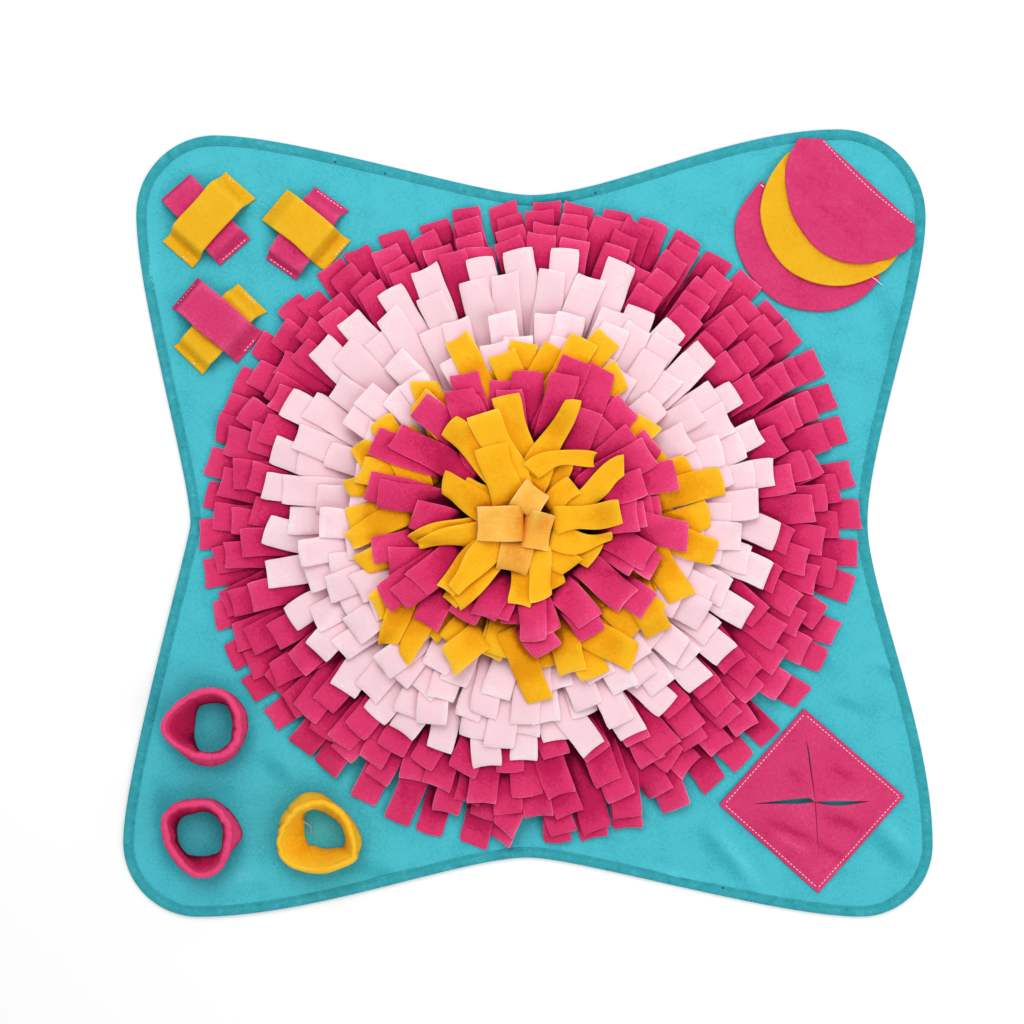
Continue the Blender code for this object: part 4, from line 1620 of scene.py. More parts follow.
@dataclass
class FringePile:
    """The whole pile: rows from the rim to the middle, each strip laid on all those before it."""

    rows: tuple[FringeRow, ...]
    heart: tuple[Strip, ...]
    crown: tuple[Strip, ...]
    shaper: StripShaper
    band: float = 6.0
    band_steps: int = 96
    widest_root: float = 24.0
    cut_end_highlight: float = 0.10  # painted highlight at a strip's cut end
    stand: float = 48.0
    seed: int = 32
    tone: float = 0.08
    # painted highlight along a strip's free edges
    rim: float = 0.24

    def band_ring(self, root: float) -> Beads:
        """The flat band that a row's roots are cut from: a ring of cloth on the panel.

        Args:
            root: its outer radius.

        Returns:
            Points and quads.
        """
        turns = np.linspace(0, 2 * math.pi, self.band_steps, endpoint=False)
        ways = root - self.band * np.array([0.0, 0.15, 0.85, 1.0])
        x, y = np.cos(turns)[:, None] * ways[None], np.sin(turns)[:, None] * ways[None]
        grid = np.stack([x, y, np.full(x.shape, SEAT + FLEECE_PLY / 2)], -1)
        pattern = SheetPattern(*grid.shape[:2], closed=True)
        return pattern.skin(grid[:, ::-1], FLEECE_PLY), pattern.faces()

    def piece(
        self, name: str, stands_for: tuple[str, ...], finish: Finish, strips: list[Strip],
        rng: np.random.Generator, root: float,
    ) -> bpy.types.Object:
        """Lays the strips and joins them and their band to one mesh, each with its own tone, painted
        shade towards its root, and painted highlights along its edges and at its cut end.

        Args:
            name: the piece's name.
            stands_for: the nodes that it replaces.
            finish: its fleece.
            strips: in the order in which they are laid.
            rng: what draws each strip's tone.
            root: the band's outer radius.

        Returns:
            The piece.
        """
        pattern = SheetPattern(self.shaper.rows, self.shaper.columns)
        quads = pattern.faces()
        parts = [self.band_ring(root)]
        tones = [np.zeros(len(parts[0][0]))]
        along = pattern.both(np.linspace(0.0, 1.0, pattern.rows)[:, None] * np.ones(pattern.columns))
        for strip in strips:
            points = pattern.skin(self.shaper.lay(strip), self.shaper.ply)
            parts.append((points, quads))
            # painted shade towards the root, painted highlights on the free edges and the cut end
            shade = strip.shade * smooth_step(strip.shade_from, strip.shade_from - 0.35, along)
            edge = self.rim * pattern.rim() + self.cut_end_highlight * smooth_step(0.93, 1.0, along)
            tones.append(rng.uniform(-self.tone, self.tone) + edge - shade)
        points, faces = joined(parts)
        LOG.info("%s: %d strips up to %.0f mm", name, len(strips), points[:, 2].max())
        piece = make_piece(name, points, faces, finish, np.concatenate(tones))
        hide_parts(*stands_for)
        return piece

    def row(self, row: FringeRow, rng: np.random.Generator) -> bpy.types.Object:
        """Makes one row's piece."""
        root_width = min(self.widest_root, 0.95 * 2 * math.pi * row.root / len(row.tips))
        return self.piece(row.name, row.stands_for, row.finish, row.strips(rng, root_width), rng, row.root)

    def build(self) -> list[bpy.types.Object]:
        """Makes every row, then the heart, and the crown.

        Returns:
            The pieces in the order in which they are laid.
        """
        pieces = [self.row(row, np.random.default_rng((self.seed, i))) for i, row in enumerate(self.rows)]
        rng = np.random.default_rng(self.seed)
        heart = []
        for strip in self.heart:
            length = self.stand + 0.85 * (strip.reach - strip.root)
            bow, skew, cup = (rng.uniform(-most, most) for most in (1.5, 12.0, 2.4))
            turn = rng.uniform(0.0, 2 * math.pi)
            heart.append(replace(strip, length=length, bow=bow, skew=skew, cup=cup, wave_turn=turn))
        for name, stands_for, finish, strips, root in (
            ("fringe_heart_strips", ("fringe_heart_1", "fringe_heart_2"), Finish.YELLOW_FLEECE, heart, 14.0),
            ("fringe_crown_strips", ("fringe_crown",), Finish.AMBER_FLEECE, list(self.crown), 8.5),
        ):
            pieces.append(self.piece(name, stands_for, finish, strips, rng, root))
        return pieces


# ---- studio


@dataclass
class Studio:
    """A pale floor, soft light mostly from the top of the mat, and a camera straight above."""

    camera_height: float = 1350.0
    view_width: float = 886.0
    aim: tuple[float, float] = (-13.8, 9.5)
    floor_reach: float = 4.0
    floor_drop: float = 0.0006

    def build(self) -> None:
        """Makes the floor, the lights, the world and the camera."""
        scene = bpy.context.scene
        scene.view_settings.view_transform = "Standard"
        white = (1.0, 1.0, 1.0, 1.0)
        floor_mesh = bpy.data.meshes.new("floor")
        reach = self.floor_reach
        corners = [(-reach, -reach, 0.0), (reach, -reach, 0.0), (reach, reach, 0.0), (-reach, reach, 0.0)]
        floor_mesh.from_pydata(corners, [], [(0, 1, 2, 3)])
        material = bpy.data.materials.new("white_paper_sweep")
        material.use_nodes = True
        shader = material.node_tree.nodes["Principled BSDF"]
        for name, value in (
            ("Base Color", (0.95, 0.95, 0.95, 1.0)),
            ("Roughness", 1.0),
            ("Specular IOR Level", 0.0),
            ("Emission Color", white),
            ("Emission Strength", 0.07),
        ):
            shader.inputs[name].default_value = value
        floor_mesh.materials.append(material)
        floor = bpy.data.objects.new("floor", floor_mesh)
        floor.location.z = -self.floor_drop
        scene.collection.objects.link(floor)
        self.light("key_soft_box", (-0.2, 1.25, 1.9), 1.4, 26.0)
        self.light("fill_soft_box", (1.1, -0.8, 1.7), 1.6, 15.0)
        world = bpy.data.worlds.new("white_room")
        world.use_nodes = True
        sky = world.node_tree.nodes["Background"]
        sky.inputs["Color"].default_value = white
        sky.inputs["Strength"].default_value = 0.5
        scene.world = world
        lens = bpy.data.cameras.new("overhead_camera")
        lens.angle = 2 * math.atan(self.view_width / 2 / self.camera_height)
        camera = bpy.data.objects.new("overhead_camera", lens)
        camera.location = (self.aim[0] * MM, self.aim[1] * MM, self.camera_height * MM)
        scene.collection.objects.link(camera)
        scene.camera = camera

    def light(self, name: str, place: tuple[float, float, float], size: float, power: float) -> None:
        """A square soft box that faces the middle of the mat.

        Args:
            name: the lamp's name.
            place: where it hangs, in metres.
            size: its side, in metres.
            power: in watts.
        """
        lamp = bpy.data.lights.new(name, "AREA")
        lamp.size = size
        lamp.energy = power
        obj = bpy.data.objects.new(name, lamp)
        obj.location = place
        away = np.array(place) / np.linalg.norm(place)
        obj.rotation_euler = (math.acos(away[2]), 0.0, math.atan2(away[1], away[0]) + math.pi / 2)
        bpy.context.scene.collection.objects.link(obj)


# ---- the mat


TABS = (
    CrossedTab(
        "tab_a_under", Finish.MAGENTA_FELT, -303.1, 290.6, -252.7, 233.3, 8.0, sewn=(1.5, 4.0),
        ramp=(7.0, 12.0), seams=((0, 0), (0.1, 0.95)), splay=(0.6, -1.4, 0.3, 0.3), seed=1,
    ),
    CrossedTab(
        "tab_a_over", Finish.YELLOW_FELT, -248.3, 291.8, -302.4, 231.3, 11.5, sewn=(5.0, 10.0),
        ramp=(17.0, 18.0), seams=((0.12, 0.4), (0.6, 0.9)), splay=(0.2, 1.2, 0.8, 0.2), seed=2,
    ),
    CrossedTab(
        "tab_b_under", Finish.MAGENTA_FELT, -169.9, 280.4, -213.2, 218.6, 8.0, sewn=(4.0, 4.5),
        ramp=(13.0, 9.0), splay=(0.3, 2.0, -0.8, -0.6), seed=3,
    ),
    CrossedTab(
        "tab_b_over", Finish.YELLOW_FELT, -218.3, 275.2, -164.2, 230.0, 11.5, sewn=(1.5, 11.0),
        ramp=(17.0, 18.0), seams=((0, 0), (0.45, 0.9)), splay=(1.2, -0.4, 0.3, 1.0), seed=4,
    ),
    CrossedTab(
        "tab_c_under", Finish.YELLOW_FELT, -238.6, 195.5, -292.9, 139.7, 8.0, sewn=(6.0, 5.0),
        seams=((0.25, 0.7), (0.6, 0.8)), splay=(-0.8, 2.0, 1.2, 0.3), seed=5,
    ),
    CrossedTab(
        "tab_c_over", Finish.MAGENTA_FELT, -295.4, 199.3, -239.3, 151.0, 13.5, sewn=(3.0, 3.0),
        ramp=(10.0, 17.0), seams=((0.1, 0.9), (0.3, 0.8)), splay=(1.0, -0.4, 0.3, 1.4), seed=6,
    ),
)

FLAPS = (
    HalfRoundFlap(
        "flap_bottom", Finish.MAGENTA_FELT, edge=((208.2, 290.0), (296.7, 217.2)),
        arc=(
            (200.5, 295.0), (191.3, 283.3), (182.9, 271.2), (178.7, 259.3), (178.3, 247.8), (180.2, 236.3),
            (185.6, 222.9), (192.3, 212.2), (200.0, 202.4), (216.2, 190.0), (235.4, 183.7), (254.6, 182.3),
            (269.9, 185.0), (283.3, 191.1), (294.8, 200.3), (303.8, 211.8),
        ),
        seam_share=(0.0, 0.0), wave_seed=1,
    ),
    HalfRoundFlap(
        "flap_middle", Finish.YELLOW_FELT, edge=((231.1, 321.6), (318.1, 239.7)),
        arc=(
            (223.8, 319.1), (218.1, 312.8), (212.6, 305.3), (207.8, 297.5), (204.0, 289.1), (201.1, 278.9),
            (199.9, 268.4), (201.7, 255.0), (208.2, 236.9), (221.5, 219.7), (238.8, 209.2), (257.9, 204.4),
            (277.0, 204.9), (296.1, 211.4), (309.9, 219.7), (320.0, 232.1),
        ),
        levels=((22.0, 2.4),), seam_share=(0.0, 0.0), wave_seed=2,
    ),
    HalfRoundFlap(
        "flap_top", Finish.MAGENTA_FELT, edge=((253.8, 331.4), (333.8, 257.5)),
        arc=(
            (233.6, 332.0), (227.9, 323.0), (223.5, 312.9), (221.2, 302.4), (221.6, 289.0), (225.4, 270.0),
            (232.7, 254.7), (244.1, 239.4), (255.6, 230.4), (268.0, 224.9), (280.4, 222.8), (292.8, 223.2),
            (305.2, 226.0), (316.7, 230.2), (326.2, 235.0), (333.5, 241.7),
        ),
        levels=((26.0, 2.4), (52.0, 2.4)), wave_seed=3,
    ),
)

THREADS = (  # loose ends of thread: finish, thickness, then points in the mat's frame
    LooseThread(Finish.WHITE_THREAD, 0.9, ((200.3, 291.6, 6.3), (203.2, 289.1, 6.3))),
    LooseThread(Finish.WHITE_THREAD, 0.7, ((295.6, 212.0, 6.4), (300.3, 209.0, 6.2), (305.8, 205.1, 4.0))),
    LooseThread(Finish.WHITE_THREAD, 0.8, ((162.1, -186.8, 9.0), (165.1, -187.6, 9.0))),
    LooseThread(
        Finish.GREY_THREAD, 0.9,
        ((-192.6, -254.7, 17.0), (-188.4, -258.2, 13.0), (-186.4, -262.4, 8.0), (-187.5, -268.3, 4.6)),
    ),
)

COLLARS = (
    Collar(
        "collar_a", Finish.MAGENTA_FLEECE, foot=(-271.1, -177.7), lean=(5.7, 4.1),
        inner=(
            16.8, 17.8, 18.8, 21.3, 23.8, 23.5, 22.8, 22.9, 23.3, 20.8, 18.0, 16.7,
            16.5, 17.3, 19.0, 21.5, 23.0, 22.4, 20.9, 19.9, 19.0, 19.0, 18.3, 16.8,
        ),
        crest=(
            21.5, 21.8, 23.2, 25.5, 28.2, 30.8, 32.3, 32.8, 34.0, 35.0, 37.0, 41.0,
            42.2, 37.8, 31.8, 28.6, 26.2, 24.6, 23.5, 23.3, 23.2, 22.2, 21.6, 21.4,
        ),
        outer=(
            28.4, 29.4, 30.6, 31.6, 32.6, 33.4, 34.2, 34.3, 35.2, 36.0, 38.0, 41.8,
            42.8, 38.9, 34.3, 33.2, 32.6, 31.8, 30.9, 29.9, 28.9, 27.9, 27.1, 27.1,
        ),
        pinches=(
            Pinch(6.0, 0.9, 3.0), Pinch(122.0, 1.3, 5.0, 26.0), Pinch(138.0, 0.8, 4.0, -14.0),
            Pinch(240.0, 0.8, 4.0, -25.0), Pinch(264.0, 0.7, 4.0, 30.0), Pinch(318.0, 0.6, 4.0, 18.0),
        ),
        seed=1,
    ),
    Collar(
        "collar_b", Finish.MAGENTA_FLEECE, foot=(-282.9, -268.9), lean=(6.0, 6.2),
        inner=(
            20.2, 21.3, 21.8, 22.0, 21.8, 21.3, 20.5, 19.5, 20.5, 21.8, 21.5, 20.8,
            20.2, 20.0, 20.0, 20.0, 20.3, 18.8, 18.4, 19.0, 20.2, 22.5, 22.8, 20.6,
        ),
        crest=(
            24.5, 24.6, 25.0, 25.5, 25.8, 26.4, 27.0, 27.0, 28.8, 31.8, 33.0, 31.2,
            28.8, 27.8, 27.0, 27.3, 29.2, 32.2, 34.2, 34.0, 31.6, 28.3, 26.0, 24.6,
        ),
        outer=(
            35.6, 33.9, 32.8, 31.9, 31.6, 30.8, 30.5, 30.6, 32.4, 34.1, 34.6, 33.4,
            31.4, 30.4, 29.8, 30.4, 31.8, 33.8, 35.4, 35.6, 33.4, 30.8, 29.6, 32.0,
        ),
        pinches=(
            Pinch(139.0, 1.6, 4.5, 10.0), Pinch(166.0, 1.2, 4.0, -12.0), Pinch(186.0, 0.7, 3.5, 8.0),
            Pinch(232.0, 0.8, 4.0, -20.0), Pinch(36.0, 0.8, 4.0, 25.0), Pinch(96.0, 0.6, 4.0, -18.0),
        ),
        seed=2,
    ),
    Collar(
        "collar_c", Finish.YELLOW_FLEECE, foot=(-174.5, -263.2), lean=(3.6, 6.1),
        inner=(
            15.5, 14.0, 12.6, 12.0, 12.0, 12.6, 13.8, 16.4, 19.8, 22.4, 21.8, 19.0,
            18.3, 18.5, 19.5, 19.8, 17.6, 17.4, 17.6, 18.1, 19.6, 22.4, 20.4, 17.5,
        ),
        crest=(
            19.9, 18.7, 18.0, 17.8, 18.2, 19.2, 20.6, 22.2, 24.0, 26.4, 29.0, 32.5,
            36.8, 40.4, 44.0, 42.0, 38.8, 36.4, 34.8, 33.6, 33.6, 33.6, 27.6, 22.4,
        ),
        outer=(
            26.4, 23.1, 21.4, 20.6, 20.9, 22.6, 26.6, 30.8, 34.1, 35.4, 35.9, 38.1,
            39.6, 41.8, 44.9, 43.8, 41.1, 39.1, 37.6, 35.9, 35.9, 36.1, 34.1, 30.9,
        ),
        pinches=(
            Pinch(172.0, 1.9, 4.0, 16.0), Pinch(158.0, 1.4, 3.5, -12.0), Pinch(187.0, 1.4, 3.5, 10.0),
            Pinch(206.0, 1.2, 3.5, -18.0), Pinch(320.0, 1.2, 4.0, 10.0),
        ),
        inner_painted_shade=-0.05, seed=3,
    ),
)


def filler(count: int, reach: float, further: float, turn: float) -> tuple[tuple[float, ...], ...]:
    """Tips of a row that is mostly covered: evenly spaced, and further out towards the top left by
    a cosine of the azimuth, with a sine's small change of place and lean from strip to strip.

    Args:
        count: how many strips.
        reach: their mean distance from the middle.
        further: how much further out those at the top left are.
        turn: the first one's azimuth.

    Returns:
        The tips.
    """
    tips = []
    for i in range(count):
        azimuth = turn + 360 / count * i
        out = further * math.cos(math.radians(azimuth - 115.0))
        place = (azimuth + 2.5 * math.sin(2.1 * i), reach + out + 3.5 * math.sin(1.3 * i))
        tips.append((*place, 5.0 * math.sin(1.7 * i)))
    return tuple(tips)


# Each tip is its azimuth and its reach, and then its lean and its twist where it has any.
RIM_1 = (
    (1.5, 286, -2), (8.8, 282, 2), (16.6, 284), (22.8, 285, -2), (29, 287, -5), (36, 283, 5), (41, 282),
    (47.6, 285), (54.1, 283), (60.7, 284), (67.2, 283), (73.9, 280, 9), (80.8, 277, 2), (86.6, 277, -2),
    (94.6, 276, 5), (101.2, 277, -5), (107.6, 272, 7), (115.2, 277, -2), (122.3, 278), (127.8, 280, -5),
    (137.5, 282), (146.2, 281), (153.5, 281, 2), (158.8, 280), (162.8, 281, 2), (168.8, 281, -5),
    (174.9, 279, -7), (182, 283), (189, 282), (196.6, 282), (204.3, 283, 2), (211, 281), (217.5, 279, -2),
    (224.5, 276, 5), (230.4, 275, 5), (239.3, 279, 5), (246.2, 282), (252.1, 282, -2), (260.4, 282, -2),
    (275.3, 277, -2), (281.9, 277), (288.3, 276, -7), (297.5, 277, -5), (305.5, 278), (312, 279),
    (318.5, 280, -2), (327.5, 281), (335, 282), (340.2, 282, -2), (348.2, 285, -9), (354.7, 285),
    (264.4, 273, -14, 30),
)
RIM_2 = (
    (6.5, 269, -2), (16.3, 267), (22.6, 267), (29.7, 268), (38.8, 270, -5), (44.2, 270, -5), (52, 271, 2),
    (60, 275, -5), (69.5, 275), (75, 270, -5), (81.3, 267), (88, 268, 2), (93.6, 265, 9), (101.6, 266, 7),
    (110.3, 264, 5), (117.7, 266, -5), (126.7, 270), (134.3, 271), (142.3, 271, 2), (151, 270),
    (157.8, 263, -14), (164.5, 268, -5), (172.3, 266, -5), (178.7, 271, -5), (187, 271, 7), (195, 271, 9),
    (201.5, 271, -2), (207, 270, -5), (212.6, 260, 12), (217.5, 259), (225.8, 254, 14), (231.2, 255),
    (239.3, 256), (254, 258), (261.5, 256), (276.6, 268, 12), (282.8, 270, 5), (288.6, 266, -14),
    (296.2, 258, 5), (303.6, 251, 12), (310.6, 254, -2), (316.8, 257, -9), (327, 261, -2), (335.2, 263, -2),
    (342, 264, -14), (350.5, 268, -5), (359.8, 267), (265.2, 263, -20, 42),
)
RIM_3 = (
    (5, 257), (12.2, 253, 14), (22.5, 250, 2), (29.7, 256), (37, 254, 7), (44.3, 254, -9), (53.2, 256),
    (60.8, 261, -5), (71.2, 260, -2), (81.3, 256), (86, 255), (93.8, 253, 14), (101.8, 251, 2),
    (108.4, 248, 2), (117.3, 252), (124.8, 252), (131.8, 255), (139, 255), (147, 253, 7), (151.5, 251, -5),
    (162.5, 248), (170.5, 256, 5), (179.5, 254, -5), (186, 261, -5), (195.3, 263), (203, 260, 2),
    (210.8, 254, -2), (220.6, 252, 14), (229.2, 248), (236.5, 245, 2), (245.7, 241, 7), (257.5, 244, -5),
    (266, 248, 5), (272.2, 250, 7), (278.2, 251, 12), (288.8, 248, 2), (301.8, 238, 19), (307.2, 237),
    (315.8, 241, 2), (322.8, 243, -7), (331, 246, -5), (339.5, 248, -7), (348.8, 251, -2), (356.3, 253, -7),
)
RIM_4 = (
    (3, 244), (12, 243, 5), (22, 240, 7), (29.8, 242, 7), (37.5, 240), (44.3, 241, -5), (53, 241),
    (60.9, 243, -7), (66, 238, -7), (72.2, 248, -2), (80.5, 244), (87.4, 246), (94.3, 242, 14), (100.3, 239),
    (105.8, 240), (116.3, 242), (124, 243, -2), (133.7, 247), (142.6, 246), (153.3, 242), (160, 240),
    (170, 240, -9), (177.3, 236, -7), (184, 246), (195, 245), (204.2, 238, 7), (211.5, 232, 9),
    (221.7, 233, 9), (230.2, 231), (238.6, 227), (250.8, 238, 5), (260.4, 241, 2), (270, 232, 7),
    (277, 232, 12), (287.3, 231, 7), (297.5, 229), (302, 226, 9), (308.6, 226), (317, 229, -2),
    (325.6, 232, -7), (335.6, 235, -7), (343, 238, -12), (352, 240, -7),
)
RIM_5 = (
    (9.7, 228), (18.5, 226, 5), (31.2, 225, 2), (38, 222), (44.5, 223, -2), (51.8, 226, -7), (62.3, 224, -5),
    (246, 226, -5), (255, 219, -7), (266, 212, 12), (277, 199, 12), (287, 205, 16), (296.7, 207),
    (309, 204, 2), (317.4, 210, -7), (325.6, 212, -14), (338, 213, -16), (347, 217, -14), (356, 223, -21),
)
PALE_1 = (
    (11.8, 212, -5), (21.8, 210, 5), (32.3, 209), (44.1, 210), (53, 209, -7), (62.1, 206, 5), (70.2, 236, 2),
    (82.3, 235), (92.3, 233, 7), (100.4, 230), (112.3, 234), (120.8, 232), (131.4, 233), (139.7, 234, -2),
    (153.2, 231), (163.7, 226, -7), (171.8, 227), (181.3, 224, -16), (191.2, 227), (202, 219, 12),
    (211.2, 210, 14), (222, 212, 14), (231.3, 210), (238.6, 207, -5), (248.6, 207, 7), (260.3, 208, 12),
    (268.8, 200), (277.4, 185, 5), (286.1, 199, 21), (296.5, 199, 7), (307.4, 196, 12), (317, 200, -3),
    (326.2, 201, -9), (336.6, 202, -9), (347.6, 208, -12), (356.9, 212, -16),
)
PALE_2 = (
    (5, 195, 2), (12, 196), (20.5, 193, 7), (35, 193), (44, 196), (52.5, 195), (60.5, 190), (67.5, 194),
    (75.5, 215, -7), (84.5, 215), (95.5, 212), (103, 211), (113.5, 211), (124, 215), (129.5, 205), (137, 217),
    (144.5, 201), (151.5, 211), (159.5, 210), (164.5, 203), (172, 210), (179.3, 203), (187.5, 195),
    (194, 193, 5), (204.5, 199, 7), (214, 192), (226.5, 199, 7), (237.5, 192, 7), (244, 188, 19),
    (255.6, 187, 2), (262.5, 191), (269, 178), (286.5, 170), (295, 187), (309.5, 180), (320, 180),
    (329, 181, -5), (340.5, 177, -12), (350.5, 188, -9), (28, 191),
)
GOLD = (
    (3.5, 152, 19), (12.5, 167), (19.5, 144), (40, 133), (58, 148, -21), (66.5, 170, -19), (73, 162, -12),
    (80.5, 149, -21), (91, 151, -19), (99, 143, 14), (111, 168, 5), (126.5, 148, -16), (131.5, 139, 2),
    (144.5, 152, -26, 34), (155, 159, -19, 40), (162, 147, 5), (169.5, 156, 19, -36), (179.5, 151, 12),
    (186, 150, 21, 30), (194.5, 144, 14, -38), (208.5, 146, 5), (220.5, 156, 29, -24), (227, 154, 19, 48),
    (240, 133, -19), (256.5, 113, -2), (273.5, 149, 19), (286.5, 129, -2), (294, 140, 6), (308.5, 143, 21),
    (315.5, 128), (320, 142, -19), (324, 133), (334, 143, -29), (351, 159, -9),
)
CORE_1 = (
    (6, 110), (6.5, 103, 2), (18.5, 129, -5), (34, 124, 16), (50, 128), (58.5, 126, 14), (64.5, 143, 5),
    (73.5, 142, -7), (90.5, 127), (99, 120, -14), (113.5, 136, -9), (132.5, 135, 9), (152, 147, 7),
    (166.5, 137), (190, 132), (195, 120, -19), (207.5, 137, 5), (224.5, 120, 19), (262, 84), (279, 107, 29),
    (300, 107, 4), (325.5, 120), (340.5, 112, -16), (355, 133, -5),
)
CORE_2 = (
    (4.5, 89, 2), (5, 96), (20, 101), (31, 116), (39.5, 114), (50, 106), (62, 106, 9), (76.5, 127),
    (98.5, 112), (117.5, 125, -12), (118, 115), (146.5, 133, 5), (168.5, 127), (175, 96, -9),
    (208.5, 105, 12), (210.5, 124, 7), (235, 97, 9), (250, 82), (272.5, 97), (281, 92, 10), (302.5, 95, 7),
    (322, 103), (340, 95, -12), (344, 103, -14),
)
PALE_3 = (*filler(34, 173.0, 8.0, 2.0), (198.3, 178), (229.6, 172), (252.5, 172), (356.3, 180))
PALE_4 = filler(30, 150.0, 6.0, 7.0)
GOLD_2 = filler(26, 124.0, 6.0, 4.0)
CORE_3 = ((-116.0, 85.0),)
CORE_4 = ((202, 74), (126, 76), (138, 80), (150, 76), (24, 74), (38, 70), (54, 72), (-60, 70), (-30, 70))

MAGENTA, PINK, YELLOW = Finish.MAGENTA_FLEECE, Finish.PINK_FLEECE, Finish.YELLOW_FLEECE
CALM = {"roll": 3.5, "twist": 5.0, "wave": 0.1, "cup": 0.4, "shade": 0.04}
LIVELY = {"bend": 9.0, "twist": 12.0, "wave": 0.16, "cup": 1.6, "shade": 0.12}
WILD = {"bend": 12.0, "twist": 20.0, "wave": 0.2, "skew": 14.0, "cup": 2.6}
GOLD_NODES = ("fringe_yellow_1", "fringe_yellow_2")
ROWS = (  # in the order in which they are laid
    FringeRow("fringe_rim_1", ("fringe_outer_1",), MAGENTA, RIM_1, 191.5, 90.0, 20.0, -18.0),
    FringeRow("fringe_rim_2", ("fringe_outer_2",), MAGENTA, RIM_2, 178.0, 91.0, 22.0, -17.0),
    FringeRow("fringe_rim_3", ("fringe_outer_3",), MAGENTA, RIM_3, 165.0, 92.0, 25.0, -16.0),
    FringeRow("fringe_rim_4", ("fringe_outer_3",), MAGENTA, RIM_4, 153.0, 92.0, 28.0, -16.0),
    FringeRow("fringe_rim_5", ("fringe_outer_3",), MAGENTA, RIM_5, 141.0, 92.0, 30.0, -15.0),
    FringeRow("fringe_pale_1", ("fringe_pink_1",), PINK, PALE_1, 130.0, 93.0, 34.0, -15.0, **CALM),
    FringeRow("fringe_pale_2", ("fringe_pink_2",), PINK, PALE_2, 115.0, 93.0, 38.0, -14.0, **CALM),
    FringeRow("fringe_pale_3", ("fringe_pink_3",), PINK, PALE_3, 102.0, 90.0, 42.0, -13.0, **CALM),
    FringeRow("fringe_pale_4", ("fringe_pink_3",), PINK, PALE_4, 92.0, 86.0, 46.0, -12.0, **CALM),
    FringeRow("fringe_gold_2", ("fringe_yellow_1",), YELLOW, GOLD_2, 66.0, 84.0, 54.0, -14.0, wave=0.12),
    FringeRow("fringe_gold_1", GOLD_NODES, YELLOW, GOLD, 72.0, 92.0, 54.0, -14.0, **WILD),
    FringeRow("fringe_core_1", ("fringe_inner_1",), MAGENTA, CORE_1, 54.0, 94.0, 62.0, -16.0, **LIVELY),
    FringeRow("fringe_core_4", ("fringe_inner_2",), MAGENTA, CORE_4, 40.0, 64.0, 62.0, -22.0, shade=0.12),
    FringeRow("fringe_core_2", ("fringe_inner_2",), MAGENTA, CORE_2, 42.0, 90.0, 66.0, -20.0, **LIVELY),
    FringeRow("fringe_core_3", ("fringe_inner_2",), MAGENTA, CORE_3, 32.0, 92.0, 72.0, -24.0, cup=1.0),
)
LIMP = Strip(  # what the heart's strips have in common
    0.0, 0.0, 15.0, 112.0, 84.0, -24.0, root_width=15.0, snap=0.55, wave=0.2, wander=1.2, sag=8.0, shade=0.04,
    shade_from=1.5,
)


def limp(azimuth: float, reach: float, lean: float = 0.0, **kinks: float) -> Strip:
    """One of the heart's strips, given by its tip and by how it differs from the others."""
    return replace(LIMP, azimuth=azimuth, reach=reach, lean=lean, **kinks)


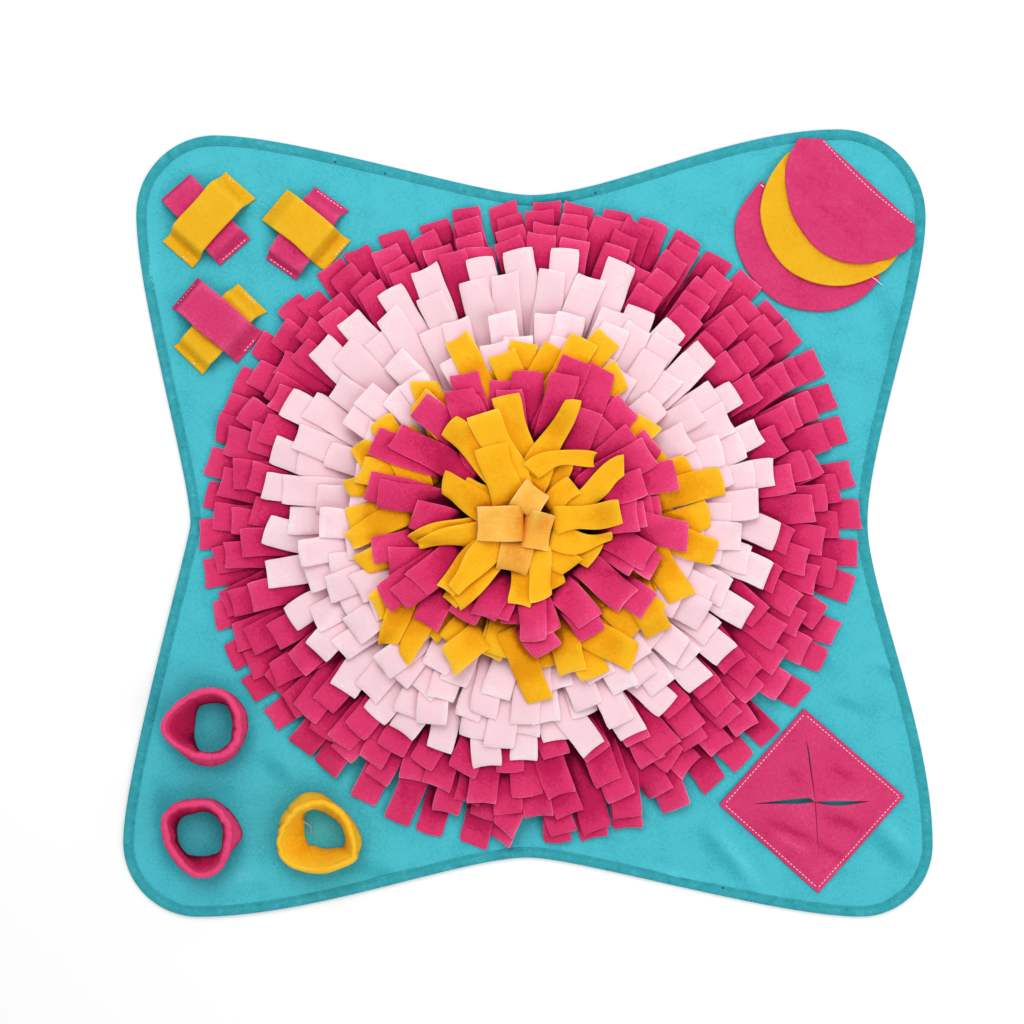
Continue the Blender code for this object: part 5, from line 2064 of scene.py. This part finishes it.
HEART = (
    *(limp(45.0 * i + 20.0, 58.0 + 5.0 * (i % 2), 8.0 - 5.0 * (i % 3)) for i in (0, 1, 2, 3, 4, 6, 7)),
    limp(-134.5, 92.0, 4.0, width=20.0, taper=0.8, bend=14.0, roll=6.0),
    limp(-132.0, 88.0, width=17.0, taper=0.9, bend=4.0, twist=8.0),
    limp(129.0, 106.0, 12.0, width=23.0, bend=28.0, roll=8.0),
    limp(101.0, 108.0, 7.0, width=24.0, bend=6.0, roll=4.0, fall=-16.0),
    limp(69.5, 109.0, -8.0, taper=0.6, bend=-10.0, sway=4.0, twist=-32.0),
    limp(113.0, 99.0, 4.0, width=26.0, bend=4.0, roll=-4.0),
    limp(31.0, 92.0, -8.0, width=19.0, bend=-20.0, sway=-18.0, roll=8.0, twist=14.0),
    limp(-172.5, 99.0, 14.0, width=20.0, taper=0.6, bend=52.0, roll=-10.0, twist=-26.0),
    limp(-169.0, 93.0, 6.0, width=22.0, taper=0.6, bend=24.0, roll=-14.0, twist=-30.0),
    limp(-142.0, 88.0, 12.0, width=24.0, taper=0.75, bend=26.0, twist=14.0),
    limp(-138.5, 83.0, 14.0, taper=0.6, bend=34.0, twist=-16.0),
    limp(154.5, 80.0, 6.0, width=22.0, bend=10.0, sway=16.0, roll=10.0, wave=0.3),
    limp(44.5, 76.0, -60.0, width=16.0, taper=0.85, bend=-96.0, roll=12.0, twist=10.0),
    limp(41.0, 50.0, width=18.0),
    limp(-46.0, 52.0, 6.0, width=24.0, taper=0.9, bend=10.0, roll=6.0),
    limp(-8.5, 70.0, 30.0, taper=0.35, bend=84.0, roll=8.0, twist=24.0),
    limp(116.0, 72.0, -10.0, width=27.0, bend=-8.0),
    limp(6.7, 76.0, width=21.0, twist=4.0, wave=0.3),
    limp(-96.5, 67.0, 4.0, width=18.0, bend=4.0, roll=6.0, twist=8.0),
    limp(-79.5, 64.0, -4.0, width=20.0, bend=4.0, roll=-6.0, twist=-14.0),
)
STANDING = Strip(  # what the crown's strips have in common
    0.0, 0.0, 5.0, 88.0, 88.0, -30.0, root_width=11.0, bow=-0.6, cup=1.2, snap=0.4, sag=0.0, shade=0.4
)
CROWN = (
    replace(STANDING, azimuth=-110.0, reach=42.0, root=14.0, lean=6.0, width=27.0, length=78.0, fall=-34.0),
    replace(
        STANDING, azimuth=76.0, reach=30.0, root=6.0, lean=-20.0, width=25.0, length=86.0, bend=-10.0,
        twist=8.0,
    ),
    replace(STANDING, azimuth=-24.0, reach=20.0, root=-4.0, lean=12.0, width=31.0, length=74.0, fall=-40.0),
    replace(STANDING, azimuth=180.0, reach=42.0, root=4.5, width=29.0, length=94.0, fall=-14.0),
)


def main() -> None:
    """Builds the mat piece by piece, then the studio."""
    logging.basicConfig(level=logging.INFO, format="%(name)s %(message)s")
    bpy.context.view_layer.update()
    outline = MatOutline()
    base = BasePanel(outline)
    panel = base.build()
    pile = PileField()
    cloths = [panel, EdgeBinding(outline).build(pile)]
    beads = []
    for part in (*TABS, *FLAPS):
        cloth, seams = part.build(pile)
        cloths.append(cloth)
        beads.extend(seams)
    patch, seam = SlitPatch().build(pile)
    beads.append(seam)
    for thread in (Finish.WHITE_THREAD, Finish.GREY_THREAD):
        loose = [item.beads() for item in THREADS if item.finish is thread]
        points, quads = joined(loose + (beads if thread is Finish.WHITE_THREAD else []))
        make_piece(thread.name.lower() + "_work", points, quads, thread)
    cloths += [patch, *(collar.build(pile) for collar in COLLARS)]
    fringe = FringePile(ROWS, HEART, CROWN, StripShaper(pile)).build()
    # painted shadow on the panel round what stands on it, then painted shade in the hollows and painted light
    # on proud parts of all other cloth
    paint_depth_light_and_shade(cloths[:1], pile, deepest=1.7)
    paint_depth_light_and_shade(cloths[1:] + fringe, pile)
    base.area()
    Studio().build()


if __name__ == "__main__":
    main()
